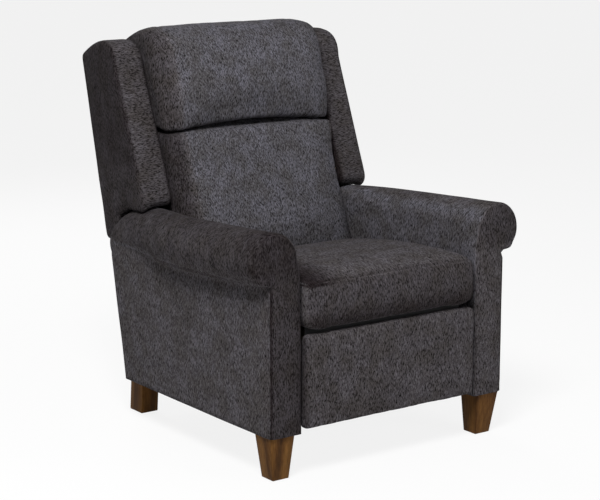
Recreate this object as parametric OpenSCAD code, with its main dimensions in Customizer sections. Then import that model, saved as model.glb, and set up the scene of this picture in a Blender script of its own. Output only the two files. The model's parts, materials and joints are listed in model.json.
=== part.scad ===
// Push-back recliner with rolled arms, wings and tapered wooden legs.
// The front of the chair faces -Y, +Z is up, and the origin is on the floor under the middle of its box.

/* [Overall] */
// Height of the body's underside, which is the height of the legs
leg_height = 113.5; // [90:0.5:140]
// Running clearance of pins in plates
pin_gap = 0.05; // [0.02:0.01:0.1]
// Gap between neighbouring solids that only touch
touch_gap = 0.3; // [0.2:0.05:0.6]

/* [Arms] */
// Half width over the flat outer side panels
arm_half = 370; // [350:1:390]
// Width of one arm
arm_width = 93.5; // [85:0.5:105]
// Radius of the rolled arm top
roll_r = 69; // [60:1:74]
// How far the roll stands out past the side panel at the front
roll_flare = 53; // [30:1:60]
// Height of the arm top at the front
arm_top = 619; // [590:1:650]
// Fall of the arm top per millimetre of depth
arm_fall = 0.052; // [0.03:0.002:0.07]
// Depth of the side panel at its rear shoulder
arm_depth_top = 744; // [725:1:760]
// How much shallower the side panel is at its bottom edge
arm_rear_slope = 58; // [50:1:70]
// Height of the rear shoulder
shoulder_height = 445; // [420:1:470]
// Thickness of the padded front facing
facing_t = 12; // [8:1:18]
// Thickness of padding round the arm frame
arm_pad = 18; // [14:1:22]

/* [Legs] */
// Side of a front leg at its foot
front_leg_foot = 48; // [42:1:54]
// Side of a front leg at its top
front_leg_top = 70; // [60:1:74]
// How far the middle of a front leg's foot stands in from the middle of its top
front_leg_rake = 4; // [0:1:8]
// Inset of the front leg's top from the panel corner
front_leg_inset = 5; // [4:1:8]
// Width of a rear leg
rear_leg_side = 52; // [46:1:54]
// Depth of a rear leg
rear_leg_deep = 62; // [52:1:64]
// Distance of the rear leg's centre from the arm's inner face, outwards
rear_leg_in = 10; // [6:0.5:14]
// Rearward lean of the rear leg's foot
rear_leg_rake = 10; // [3:1:14]
// Radius of the hanger bolts
leg_bolt_r = 4; // [3:0.5:5]
// Thickness of the glide under each leg
glide_t = 3; // [2:0.5:4]

/* [Seat] */
// Depth that the seat cushion stands out in front of the arms
seat_overhang = 20; // [15:1:26]
// Gap between the seat cushion and each arm
seat_side_gap = 5.5; // [3.5:0.5:9]
// Height of the seat cushion's underside
seat_bottom = 373; // [365:1:385]
// Thickness of the seat cushion at its edge
seat_edge = 107; // [95:1:115]
// Crown of the seat cushion above its edge
seat_crown = 20; // [8:1:28]
// How far in front of the arms' rear shoulder the seat cushion ends
seat_back_room = 270; // [268:1:294]
// Thickness of the seat frame rails
seat_rail_t = 32; // [26:1:36]

/* [Footrest] */
// Gap between the footrest panel and each arm
footrest_side_gap = 6.5; // [4.5:0.5:12]
// Height of the footrest panel's lower edge
footrest_bottom = 125; // [122:1:138]
// Height of the footrest panel's upper edge
footrest_top = 356; // [345:1:359]
// Thickness of the footrest padding
footrest_pad_t = 18; // [14:1:20]
// Thickness of the footrest board
footrest_board_t = 12; // [10:1:14]

/* [Back] */
// Lean of the outside back, rearward per millimetre of height
back_lean = 0.239; // [0.2:0.001:0.26]
// How far the outside back's rear face, at the body's underside, lies behind the arms' rear shoulder
back_behind = 6; // [2:0.5:12]
// How far the outside back's side edges lie inside the side panels
back_side_inset = 35; // [30:1:40]
// Gap between each arm and the part of the outside back between them
skirt_side_gap = 7.5; // [5.5:0.5:14]
// Height of the outside back's lower edge
skirt_bottom = 186; // [184:1:200]
// Height where the outside back widens behind the arms
back_shoulder = 470; // [465:1:490]
// Height of the blocks that close the rear ends of the arms
rear_block_top = 390; // [300:1:392]
// Height of the outside back's top edge
back_top = 966; // [940:1:990]
// Thickness of the outside back panel
back_panel_t = 18; // [14:1:20]
// How far the wings' outer faces lie inside the side panels
wing_side_inset = 2.5; // [2:0.5:16]
// How far the wings' inner faces stand in from the arms' inner faces
wing_overhang = 1.5; // [0:0.5:3.5]
// Height of the wings' underside
wing_bottom = 592; // [590:1:606]
// Gap between the back cushions and each wing
back_cushion_gap = 9; // [6:1:16]
// Height of the seam between the lumbar and head cushions
seam_height = 785; // [770:1:800]

/* [Linkage] */
// Length of a footrest link between its end pivots
link_l = 196; // [190:1:200]
// Width of a footrest link
link_w = 19; // [16:0.5:20]
// Thickness of links and plates
plate_t = 3; // [2.5:0.1:3.2]
// Height of the upper link pivot
link_pivot_z = 331; // [328:1:336]
// Depth of the upper link pivot behind the arm front
link_pivot_y = 90; // [88:1:96]
// Link angle to the line of travel with the footrest closed
link_closed = 84; // [82:0.5:85]
// Upward tilt of the line of travel
link_rise = 4; // [2:0.5:5]
// Link angle to the line of travel with the footrest open
link_open = 6; // [5:0.5:9]
// Radius of the link rivets
rivet_r = 4; // [3:0.25:4.5]
// Radius of the upper pivot, slider and back pivot pins
pin_r = 5; // [4:0.25:5.5]
// Forward travel of the seat as the back reclines
seat_travel = 50; // [40:1:60]
// Rise angle of the seat guides
guide_rise = 8; // [4:1:12]
// Height of the back pivot
back_pivot_z = 330; // [320:1:340]
// How far the back pivot lies in front of the arms' rear shoulder
back_pivot_in = 84; // [74:1:94]

/* [Hidden] */
$fn = 48;

fabric = "#46444a";
pine = "#c9a46e";
walnut = "#6e4b23";
steel = "#8d9096";
black_cloth = "#222224";

arm_depth = arm_depth_top - arm_rear_slope;
seat_depth = arm_depth_top + seat_overhang - seat_back_room;
back_depth_low = arm_depth_top + back_behind;
back_pivot_y = arm_depth_top - back_pivot_in;
overall_height = back_top + 84;
overall_depth = seat_overhang + back_depth_low + back_lean * (back_top - leg_height);
front_y = seat_overhang - overall_depth / 2;
arm_inner = arm_half - arm_width;
rear_leg_x = arm_inner + rear_leg_in;
seat_half = arm_inner - seat_side_gap;
footrest_half = arm_inner - footrest_side_gap;
back_half = arm_half - back_side_inset;
skirt_half = arm_inner - skirt_side_gap;
wing_half = arm_half - wing_side_inset;
wing_inner = arm_inner - wing_overhang;
back_cushion_half = wing_inner - back_cushion_gap;

// Helpers

module span(x, y, z) {
    translate([x[0], y[0], z[0]]) cube([x[1] - x[0], y[1] - y[0], z[1] - z[0]]);
}

module on_side(side) {
    if (side == "left") mirror([1, 0, 0]) children();
    else children();
}

module both_sides() {
    children();
    mirror([1, 0, 0]) children();
}

// A round bar along X between two distances from the middle
module x_bar(x0, x1, y, z, r) {
    translate([x0, y, z]) rotate([0, 90, 0]) cylinder(r = r, h = x1 - x0);
}

// A flat plate across X, drawn as points [y, z]
module x_plate(x0, x1) {
    translate([x0, 0, 0]) rotate([90, 0, 90]) linear_extrude(x1 - x0) children();
}

function middle(ring) = [for (k = [0:2]) (min([for (p = ring) p[k]]) + max([for (p = ring) p[k]])) / 2];

// A closed skin over rings of equal count, with a fan or one flat face over each end
module loft(rings, flip = false, flat_ends = false) {
    n = len(rings[0]);
    m = len(rings);
    points = concat([for (r = rings) each r], flat_ends ? [] : [middle(rings[0]), middle(rings[m - 1])]);
    walls = [for (i = [0:m - 2]) for (j = [0:n - 1]) let (a = i * n + j, b = i * n + (j + 1) % n)
        each [[a, b, a + n], [a + n, b, b + n]]];
    first = flat_ends ? [[for (j = [n - 1:-1:0]) j]] : [for (j = [0:n - 1]) [m * n, (j + 1) % n, j]];
    last = flat_ends ? [[for (j = [0:n - 1]) (m - 1) * n + j]]
        : [for (j = [0:n - 1]) [m * n + 1, (m - 1) * n + j, (m - 1) * n + (j + 1) % n]];
    faces = concat(walls, first, last);
    polyhedron(points, flip ? [for (f = faces) [for (k = [len(f) - 1:-1:0]) f[k]]] : faces);
}

function smooth(t) = let (u = max(0, min(1, t))) u * u * (3 - 2 * u);
function signed_pow(v, e) = sign(v) * pow(abs(v), e);

// Arms

roll_steps = 20;
arm_steps = 10;
// The roll begins to sink into the side panel at this share of the depth
roll_fade_start = 0.45;
// What is left of the flare, and the extra drop of the top, at the rear end
rear_flare = 4;
rear_drop = 34;
rear_drop_start = 0.84;

function roll_out(t) = roll_flare + (rear_flare - roll_flare) * smooth((t - roll_fade_start) / (1 - roll_fade_start));
function roll_top(t) = arm_top - arm_fall * arm_depth_top * t
    - rear_drop * pow(max(0, (t - rear_drop_start) / (1 - rear_drop_start)), 2);
function arm_rear(z) = arm_depth + (arm_depth_top - arm_depth)
    * min(1, max(0, (z - leg_height) / (shoulder_height - leg_height)));
function roll_centre(t) = [arm_half + roll_out(t) - roll_r, roll_top(t) - roll_r];
function crease_angle(t) = -acos((arm_half - roll_centre(t)[0]) / roll_r);
function roll_point(t, a) = [max(arm_inner, roll_centre(t)[0] + roll_r * cos(a)), roll_centre(t)[1] + roll_r * sin(a)];
function arm_outline(t, low) = concat(
    [[arm_inner, low], [arm_half, low]],
    [for (k = [0:roll_steps]) roll_point(t, crease_angle(t) + k * (180 - crease_angle(t)) / roll_steps)],
    [[arm_inner, max(low + inner_step, roll_centre(t)[1] - roll_r / 2)]]);
function arm_y(t, z) = front_y + facing_t + t * (arm_rear(z) - facing_t);
// The roll is one solid above the rear shoulder, and the panels round the arm's frame are another below it
roll_low = shoulder_height + touch_gap;
inner_step = 8;
function roll_ring(t) = [for (p = arm_outline(t, roll_low)) [p[0], arm_y(t, p[1]), p[1]]];

// The inner half of the arm runs on behind the side panel, just inside the line of the outside back
block_inset = 16;
block_x = [arm_inner, back_half - 2];

rear_wall = 36;

module arm_rear_block() {
    x_plate(block_x[0], block_x[1]) polygon(concat(
        [for (z = [leg_height, rear_block_top]) [front_y + arm_rear(z) - rear_wall + 6, z]],
        [for (z = [rear_block_top, leg_height]) [back_rear(z) - block_inset, z]]));
}

cavity_x = [arm_inner + arm_pad, arm_half - arm_pad];
cavity_y = [front_y + facing_t, front_y + arm_depth - rear_wall];

module arm_roll(side) {
    color(fabric) on_side(side) loft([for (k = [0:arm_steps]) roll_ring(k / arm_steps)]);
}

module arm_panels(side) {
    color(fabric) on_side(side) difference() {
        union() {
            x_plate(arm_inner, arm_half) polygon([[front_y + facing_t, leg_height], [front_y + arm_depth, leg_height],
                [front_y + arm_depth_top, shoulder_height], [front_y + facing_t, shoulder_height]]);
            arm_rear_block();
        }
        span(cavity_x, [cavity_y[0] - 1, cavity_y[1]], [leg_height - 1, shoulder_height + 1]);
        translate([rear_leg_x, rear_leg_y, leg_height - 1])
            cylinder(r = leg_bolt_r + touch_gap, h = leg_bolt_up + 2);
    }
}

module arm_facing(side) {
    color(fabric) on_side(side) translate([0, front_y + facing_t, 0]) rotate([90, 0, 0])
        linear_extrude(facing_t) polygon(arm_outline(0, leg_height));
}

frame_x = [cavity_x[0], cavity_x[1]];
frame_y = [cavity_y[0] + touch_gap, cavity_y[1] - touch_gap];
board_t = 20;
post_d = 50;
front_leg_xy = [arm_half - front_leg_inset - front_leg_top / 2, front_y + front_leg_inset + front_leg_top / 2];
rear_rail_y = [front_y + arm_depth_top - 47, front_y + arm_depth_top - 11];
rear_leg_y = front_y + arm_depth_top - 25;
rail_h = 41.5;
rear_rail_top = leg_height + rail_h;
leg_bolt_up = 36;
leg_bolt_down = 60;

module arm_frame(side) {
    top = shoulder_height - touch_gap;
    color(pine) on_side(side) difference() {
        union() {
            span(frame_x, frame_y, [leg_height, leg_height + board_t]);
            span(frame_x, [frame_y[0], frame_y[0] + post_d], [leg_height + board_t, top - board_t]);
            span(frame_x, [frame_y[1] - post_d, frame_y[1]], [leg_height + board_t, top - board_t]);
            span(frame_x, frame_y, [top - board_t, top]);
        }
        translate([front_leg_xy[0], front_leg_xy[1], leg_height - 1])
            cylinder(r = leg_bolt_r + touch_gap, h = leg_bolt_up + 2);
    }
}

// Legs

module frustum(foot, foot_c, top, top_c, z0, z1) {
    rings = [for (r = [[foot, foot_c, z0], [top, top_c, z1]])
        [for (c = [[-1, -1], [1, -1], [1, 1], [-1, 1]])
            [r[1][0] + c[0] * r[0][0] / 2, r[1][1] + c[1] * r[0][1] / 2, r[2]]]];
    loft(rings, true);
}

front_foot_xy = front_leg_xy + front_leg_rake * [-1, 1];

module leg_bore(x, y) {
    translate([x, y, leg_height - leg_bolt_down - 1])
        cylinder(r = leg_bolt_r + touch_gap, h = leg_bolt_down + 2);
}

module front_leg(side) {
    color(walnut) on_side(side) difference() {
        frustum([front_leg_foot, front_leg_foot], front_foot_xy, [front_leg_top, front_leg_top], front_leg_xy,
            glide_t, leg_height);
        leg_bore(front_leg_xy[0], front_leg_xy[1]);
    }
}

module rear_leg(side) {
    color(walnut) on_side(side) difference() {
        frustum([rear_leg_side, rear_leg_deep], [rear_leg_x, rear_leg_y + rear_leg_rake],
            [rear_leg_side, rear_leg_deep], [rear_leg_x, rear_leg_y], glide_t, leg_height);
        leg_bore(rear_leg_x, rear_leg_y);
    }
}

module hanger_bolt(x, y) {
    translate([x, y, leg_height - leg_bolt_down]) cylinder(r = leg_bolt_r, h = leg_bolt_down + leg_bolt_up);
}

module leg_hanger_bolts() {
    color(steel) both_sides() {
        hanger_bolt(front_leg_xy[0], front_leg_xy[1]);
        hanger_bolt(rear_leg_x, rear_leg_y);
    }
}

glide_r = 12;

module leg_glides() {
    color(black_cloth) both_sides() {
        translate([front_foot_xy[0], front_foot_xy[1], 0]) cylinder(r = glide_r, h = glide_t);
        translate([rear_leg_x, rear_leg_y + rear_leg_rake, 0]) cylinder(r = glide_r, h = glide_t);
    }
}

// Base rails

block_w = 50;
block_d = 77;
block_y = [rear_rail_y[0] - block_d, rear_rail_y[0]];

module rear_rail() {
    color(fabric) span([-arm_inner, arm_inner], rear_rail_y, [leg_height, rear_rail_top]);
}

module corner_blocks() {
    color(pine) both_sides() span([arm_inner - block_w, arm_inner], block_y, [leg_height, rear_rail_top]);
}

stretcher_y = [front_y + 150, front_y + 180];
stretcher_z = [leg_height + 4, leg_height + 44];

module base_stretcher() {
    color(pine) span([-arm_inner, arm_inner], stretcher_y, stretcher_z);
}

cloth_t = 2;

module dust_cover() {
    color(black_cloth) span([-arm_inner + block_w + 2, arm_inner - block_w - 2],
        [stretcher_y[0], rear_rail_y[0] - touch_gap], [stretcher_z[0] - cloth_t, stretcher_z[0]]);
}

// Mechanism planes, measured from the middle

base_plate_x = [arm_inner - touch_gap - plate_t, arm_inner - touch_gap];
seat_plate_x = [base_plate_x[0] - 4.2 - plate_t, base_plate_x[0] - 4.2];
outer_link_x = [seat_plate_x[0] - 3 - plate_t, seat_plate_x[0] - 3];
inner_link_x = [outer_link_x[0] - 3 - plate_t, outer_link_x[0] - 3];
rail_outer_x = inner_link_x[0] - 8;
head_t = 2;
head_r = 7;

guide_y = [front_y + 215, front_y + seat_depth + 26];
guide_z = 312;
stud_r = 6;
slot_gap = 0.3;
screw_r = 3;
base_plate_y = [guide_y[0] - 50, guide_y[1] + 70];
base_plate_z = [200, 336];
screw_y = [base_plate_y[0] + 20, base_plate_y[1] - 20];
screw_z = [base_plate_z[0] + 20, 290];

module base_plate(side) {
    color(steel) on_side(side) difference() {
        span(base_plate_x, base_plate_y, base_plate_z);
        for (y = guide_y) x_bar(base_plate_x[0] - 1, arm_inner, y, guide_z, stud_r);
        for (y = screw_y) for (z = screw_z) x_bar(base_plate_x[0] - 1, arm_inner, y, z, screw_r);
    }
}

stud_head_x = [outer_link_x[0], outer_link_x[0] + 3];

module guide_studs() {
    color(steel) both_sides() for (y = guide_y) {
        x_bar(stud_head_x[1], base_plate_x[1], y, guide_z, stud_r);
        x_bar(stud_head_x[0], stud_head_x[1], y, guide_z, stud_r + 4);
    }
}

module guide_washers() {
    color("#e8e4d8") both_sides() for (y = guide_y) difference() {
        x_bar(seat_plate_x[1] + touch_gap, base_plate_x[0], y, guide_z, stud_r + 4);
        x_bar(seat_plate_x[1], base_plate_x[0] + 1, y, guide_z, stud_r);
    }
}

module base_plate_screws() {
    color(steel) both_sides() for (y = screw_y) for (z = screw_z) {
        x_bar(base_plate_x[0], arm_inner, y, z, screw_r);
        x_bar(base_plate_x[0] - head_t, base_plate_x[0], y, z, screw_r + 2);
    }
}

// Footrest linkage as points [y, z]: two families of parallel links that cross at their middles

travel_dir = [-cos(link_rise), sin(link_rise)];
travel_up = [sin(link_rise), cos(link_rise)];
falling = cos(link_closed) * travel_dir - sin(link_closed) * travel_up;
rising = cos(link_closed) * travel_dir + sin(link_closed) * travel_up;
pivot_a = [front_y + link_pivot_y, link_pivot_z];
pivot_mid = pivot_a + link_l / 2 * falling;
slider = pivot_mid - link_l / 2 * rising;
pivot_low = pivot_a + link_l * falling;
pivot_high = pivot_mid + link_l / 2 * rising;
pivot_front = pivot_high + link_l / 2 * falling;
link_end = pivot_high + link_l * falling;
slider_top = pivot_a - link_l * sin(link_open) * travel_up;

back_pivot = [front_y + back_pivot_y, back_pivot_z];

// A bar with a round eye at each end, its waist a share of the eye's width, or a slot where the share is 1
link_waist = 0.84;

module bar_2d(a, b, w, waist = link_waist) {
    d = b - a;
    translate(a) circle(d = w);
    translate(b) circle(d = w);
    translate(a) rotate(atan2(d[1], d[0])) translate([0, -w * waist / 2]) square([norm(d), w * waist]);
}

module hole_2d(p, r) {
    translate(p) circle(r = r);
}

guide_back = [cos(guide_rise), -sin(guide_rise)];
flange_y = [front_y + 145, front_y + seat_depth - 14];
channel_top = 349;
plate_low = 290;
flange_low = 326;
slider_tip = slider + [0, -12];
pivot_boss_r = 22;

module seat_plate_2d() {
    difference() {
        union() {
            translate([flange_y[0], plate_low]) square([back_pivot[0] - flange_y[0], channel_top - plate_low]);
            translate([back_pivot[0], (plate_low + channel_top) / 2 + 4]) circle(r = pivot_boss_r);
            translate([pivot_a[0] - 14, plate_low]) square([flange_y[0] - pivot_a[0] + 14, channel_top - plate_low]);
            polygon([slider_tip + [-14, 0], slider_tip + [16, 0], [flange_y[0] + 20, plate_low + 1],
                [pivot_a[0] - 14, plate_low + 1]]);
        }
        hole_2d(pivot_a, pin_r + pin_gap);
        hole_2d(back_pivot, pin_r + pin_gap);
        bar_2d(slider - 1.5 * travel_up, slider_top + 1.5 * travel_up, 2 * (pin_r + slot_gap), 1);
        for (y = guide_y) bar_2d([y, guide_z] - slot_gap * guide_back,
            [y, guide_z] + (seat_travel + 2) * guide_back, 2 * (stud_r + slot_gap), 1);
    }
}

module seat_plate(side) {
    color(steel) on_side(side) {
        x_plate(seat_plate_x[0], seat_plate_x[1]) seat_plate_2d();
        span([rail_outer_x, seat_plate_x[1]], flange_y, [channel_top, channel_top + plate_t]);
        span([rail_outer_x, rail_outer_x + plate_t], flange_y, [flange_low, channel_top]);
    }
}

head_gap = 0.1;
rivet_out = outer_link_x[1] + head_gap + head_t;
rivet_in = inner_link_x[0] - head_gap - head_t;

// A rivet that belongs to the link in one plane and turns in the link of the other plane
module rivet(p) {
    x_bar(rivet_in, rivet_out, p[0], p[1], rivet_r);
    x_bar(rivet_in, rivet_in + head_t, p[0], p[1], head_r);
    x_bar(rivet_out - head_t, rivet_out, p[0], p[1], head_r);
}

// A pin from a link through the seat plate, with a head behind the plate
module headed_pin(x0, p) {
    x_bar(x0, seat_plate_x[1] + touch_gap + head_t, p[0], p[1], pin_r);
    x_bar(seat_plate_x[1] + touch_gap, seat_plate_x[1] + touch_gap + head_t, p[0], p[1], pin_r + 3);
}

module rear_link(side) {
    color(steel) on_side(side) {
        x_plate(outer_link_x[0], outer_link_x[1]) bar_2d(pivot_a, pivot_low, link_w);
        headed_pin(outer_link_x[0], pivot_a);
        rivet(pivot_mid);
        rivet(pivot_low);
    }
}

tube_r = 10;
tube_wall = 1.5;

module footrest_torque_tube() {
    color(steel) difference() {
        x_bar(-outer_link_x[0], outer_link_x[0], pivot_a[0], pivot_a[1], tube_r);
        x_bar(-outer_link_x[0] - 1, outer_link_x[0] + 1, pivot_a[0], pivot_a[1], tube_r - tube_wall);
    }
}

module cross_link(side) {
    color(steel) on_side(side) {
        x_plate(inner_link_x[0], inner_link_x[1]) difference() {
            bar_2d(slider, pivot_high, link_w);
            hole_2d(pivot_mid, rivet_r + pin_gap);
        }
        headed_pin(inner_link_x[0], slider);
        rivet(pivot_high);
    }
}

module short_link(side) {
    color(steel) on_side(side) {
        x_plate(inner_link_x[0], inner_link_x[1]) difference() {
            bar_2d(pivot_low, pivot_front, link_w);
            hole_2d(pivot_low, rivet_r + pin_gap);
        }
        rivet(pivot_front);
    }
}

// Footrest panel, which stands upright when closed

footrest_front = front_y - 8;
board_y = [footrest_front + footrest_pad_t, footrest_front + footrest_pad_t + footrest_board_t];
bracket_z = [footrest_bottom + 22, footrest_top - 40];
bracket_w = 30;
open_gap = 0.3;

module front_link(side) {
    color(steel) on_side(side) {
        x_plate(outer_link_x[0], outer_link_x[1]) difference() {
            union() {
                bar_2d(pivot_high, link_end, link_w);
                polygon([[board_y[1], bracket_z[0]], link_end + [0, -link_w / 4], link_end + [0, 30],
                    pivot_high - [0, 40], [board_y[1] + 3, bracket_z[1]], [board_y[1], bracket_z[1]]]);
            }
            hole_2d(pivot_high, rivet_r + open_gap);
            hole_2d(pivot_front, rivet_r + pin_gap);
        }
        span([outer_link_x[1] - bracket_w, outer_link_x[1]], [board_y[1], board_y[1] + plate_t], bracket_z);
    }
}

board_half = footrest_half - 6;

module footrest_board() {
    color(pine) span([-board_half, board_half], board_y, [footrest_bottom + 5, footrest_top - 5]);
}

module footrest_screws() {
    color(steel) both_sides() for (z = [bracket_z[0] + 15, bracket_z[1] - 15])
        translate([outer_link_x[1] - bracket_w + 10, board_y[1] + plate_t, z]) rotate([-90, 0, 0]) cylinder(r = 5, h = 2);
}

// Soft forms

soft_n = 40;

// Rounded rectangle outline in the X-Y plane, with sides drawn in between its corners
function pad_shape(w, d, pull, power) = [for (k = [0:soft_n - 1]) let (a = 360 * (k + 0.5) / soft_n,
    x = signed_pow(cos(a), 2 / power), y = signed_pow(sin(a), 2 / power))
    [x * (w / 2 - pull * (1 - pow(abs(y), 2))), y * (d / 2 - pull * (1 - pow(abs(x), 2)))]];
function pad_outline(w, d, pull, power) = let (s = pad_shape(w, d, pull, power),
    fit = [w / 2 / max([for (p = s) p[0]]), d / 2 / max([for (p = s) p[1]])])
    [for (p = s) [p[0] * fit[0], p[1] * fit[1]]];

// Rings from the middle of the underside, round the rolled edge, to the middle of the crown
function pad_rings(w, d, h, r, crown, belly, pull, power) = let (o = pad_outline(w, d, pull, power))
    let (k = [1 - 2 * r / w, 1 - 2 * r / d])
    concat(
        [for (f = [0.3, 0.7]) [for (p = o) [p[0] * k[0] * f, p[1] * k[1] * f, -belly * (1 - f * f)]]],
        [for (a = [0:30:90]) let (s = r * (1 - sin(a)))
            [for (p = o) [p[0] * (1 - 2 * s / w), p[1] * (1 - 2 * s / d), r * (1 - cos(a))]]],
        [for (a = [0:30:90]) let (s = r * (1 - cos(a)))
            [for (p = o) [p[0] * (1 - 2 * s / w), p[1] * (1 - 2 * s / d), h - r + r * sin(a)]]],
        [for (f = [0.92, 0.75, 0.5, 0.25]) [for (p = o) [p[0] * k[0] * f, p[1] * k[1] * f, h + crown * (1 - f * f)]]]);

module pad(w, d, h, r, crown, belly = 0, pull = 3, power = 7) {
    loft(pad_rings(w, d, h, r, crown, belly, pull, power), true);
}

module footrest_pad() {
    color(fabric) translate([0, board_y[0], (footrest_bottom + footrest_top) / 2]) rotate([90, 0, 0])
        pad(2 * footrest_half, footrest_top - footrest_bottom, footrest_pad_t - 4, 12, 4, 0, 1, 12);
}

seat_mid_y = front_y - seat_overhang + seat_depth / 2;

module seat_cushion() {
    color(fabric) translate([0, seat_mid_y, seat_bottom])
        pad(2 * seat_half, seat_depth, seat_edge, 34, seat_crown, 0, 2, 9);
}

// Seat frame

rail_z = [326, seat_bottom - 9];
seat_frame_y = [front_y + 32, front_y + seat_depth - 12];
tube_relief = tube_r + 3;

module seat_side_rails() {
    color(pine) both_sides() difference() {
        span([rail_outer_x - seat_rail_t, rail_outer_x], [seat_frame_y[0] + seat_rail_t, seat_frame_y[1] - seat_rail_t],
            rail_z);
        span([rail_outer_x - seat_rail_t - 1, rail_outer_x + 1],
            [pivot_a[0] - tube_relief - 20, pivot_a[0] + tube_relief], [rail_z[0] - 1, pivot_a[1] + tube_relief]);
    }
}

module seat_front_rail() {
    color(pine) span([-rail_outer_x, rail_outer_x], [seat_frame_y[0], seat_frame_y[0] + seat_rail_t], rail_z);
}

module seat_rear_rail() {
    color(pine) span([-rail_outer_x, rail_outer_x], [seat_frame_y[1] - seat_rail_t, seat_frame_y[1]], rail_z);
}

spring_count = 5;
spring_pitch = 88;
spring_amp = 22;
spring_turns = 9.5;
spring_wire = 3.8;
clip_top = rail_z[1] + spring_wire + 2.2;
spring_y = [seat_frame_y[0] + 14, seat_frame_y[1] - 14];
spring_steps = 66;
flap_t = 1.5;

function spring_line(t) = let (y = spring_y[0] + t * (spring_y[1] - spring_y[0]), a = 360 * spring_turns * t)
    [spring_amp * sin(a), y];
function spring_side(t, s) = let (d = spring_line(t + 0.002) - spring_line(t - 0.002))
    spring_line(t) + s * spring_wire / 2 * [-d[1], d[0]] / norm(d);

module spring_2d() {
    polygon(concat([for (k = [0:spring_steps]) spring_side(k / spring_steps, 1)],
        [for (k = [spring_steps:-1:0]) spring_side(k / spring_steps, -1)]));
}

module seat_springs() {
    color(steel) for (k = [0:spring_count - 1])
        translate([(k - (spring_count - 1) / 2) * spring_pitch, 0, rail_z[1] + touch_gap])
            linear_extrude(spring_wire) spring_2d();
}

module seat_spring_clips() {
    color(steel) for (k = [0:spring_count - 1]) for (y = spring_y)
        translate([(k - (spring_count - 1) / 2) * spring_pitch, y, 0]) difference() {
            span([-5, 5], [-9, 9], [rail_z[1], clip_top]);
            span([-6, 6], [-6, 6], [rail_z[1] - 1, rail_z[1] + spring_wire + 2 * touch_gap]);
        }
}

// The deck cloth comes down over the front rail
module seat_deck() {
    flap_y = seat_frame_y[0] - touch_gap;
    color(black_cloth) {
        span([-rail_outer_x, rail_outer_x], [flap_y - flap_t, seat_frame_y[1]], [clip_top, seat_bottom - touch_gap]);
        span([-rail_outer_x, rail_outer_x], [flap_y - flap_t, flap_y], [rail_z[0], clip_top + 1]);
    }
}

module seat_rail_bolts() {
    color(steel) both_sides() for (y = [flange_y[0] + 30, flange_y[1] - 60])
        x_bar(rail_outer_x + plate_t, rail_outer_x + plate_t + 4, y, (flange_low + channel_top) / 2, 6);
}

// Back

function back_rear(z) = front_y + back_depth_low + back_lean * (z - leg_height);
post_lean = 0.33;
post_before = 20;
function post_front(z) = front_y + back_pivot_y - post_before + post_lean * (z - back_pivot_z);
post_d2 = 50;
post_x = [outer_link_x[0] - 36, outer_link_x[0] - 1];
post_z = [290, back_top - 12];

module back_post(side) {
    color(pine) on_side(side) x_plate(post_x[0], post_x[1])
        polygon([for (c = [[0, 0], [1, 0], [1, 1], [0, 1]]) [post_front(post_z[c[1]]) + c[0] * post_d2, post_z[c[1]]]]);
}

top_rail_h = 60;
rail_heights = [[300, 345], [560, 605], [post_z[1] - top_rail_h, post_z[1]]];
rail_t2 = 26;

module back_rails() {
    color(pine) for (r = rail_heights) x_plate(-post_x[0], post_x[0])
        polygon([for (c = [[0, 0], [1, 0], [1, 1], [0, 1]]) [post_front(r[c[1]]) + 12 + c[0] * rail_t2, r[c[1]]]]);
}

web_t = 1.8;
web_pitch = 80;
web_heights = [for (z = [430:web_pitch:post_z[1] - 90]) z];

module back_webbing() {
    color(black_cloth) for (z = web_heights) x_plate(-post_x[1], post_x[1])
        polygon([for (c = [[0, 0], [1, 0], [1, 1], [0, 1]]) [post_front(z + 50 * c[1]) - c[0] * web_t, z + 50 * c[1]]]);
}

module back_bracket(side) {
    color(steel) on_side(side) {
        x_plate(outer_link_x[0] - 1, outer_link_x[1] - 1) {
            bar_2d(back_pivot, [post_front(300) + 25, 305], 44);
            bar_2d(back_pivot, [post_front(430) + 25, 430], 40);
        }
        headed_pin(outer_link_x[0], back_pivot);
    }
}

module rear_slab(z0, z1) {
    polygon([for (c = [[0, 0], [1, 0], [1, 1], [0, 1]]) let (z = c[1] == 0 ? z0 : z1) [back_rear(z) - c[0] * back_panel_t, z]]);
}

module outside_back() {
    color(fabric) {
        x_plate(-skirt_half, skirt_half) rear_slab(skirt_bottom, back_shoulder + 1);
        x_plate(-back_half, back_half) rear_slab(back_shoulder, back_top);
    }
}

// Wings, drawn as points [y, z] in side view

wing_lean = 0.39;
// Depth of the wings' front edge at their underside, in front of the arms' rear shoulder
wing_before = 176.6;
function wing_front(z) = front_y + arm_depth_top - wing_before + wing_lean * (z - wing_bottom);
wing_rear_gap = back_panel_t;
wing_corner_r = 22;

// The arched top is one cubic curve from the front edge to the rear corner
wing_crown = 66;
wing_arc_low = back_top - 24;

function wing_top_arc(t) = let (a = [wing_front(wing_arc_low), wing_arc_low],
    b = [wing_front(wing_arc_low) + 8, back_top + wing_crown],
    c = [front_y + arm_depth_top + 56, back_top + wing_crown + 12],
    d = [back_rear(back_top) - wing_rear_gap, back_top])
    pow(1 - t, 3) * a + 3 * pow(1 - t, 2) * t * b + 3 * (1 - t) * t * t * c + t * t * t * d;

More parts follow.
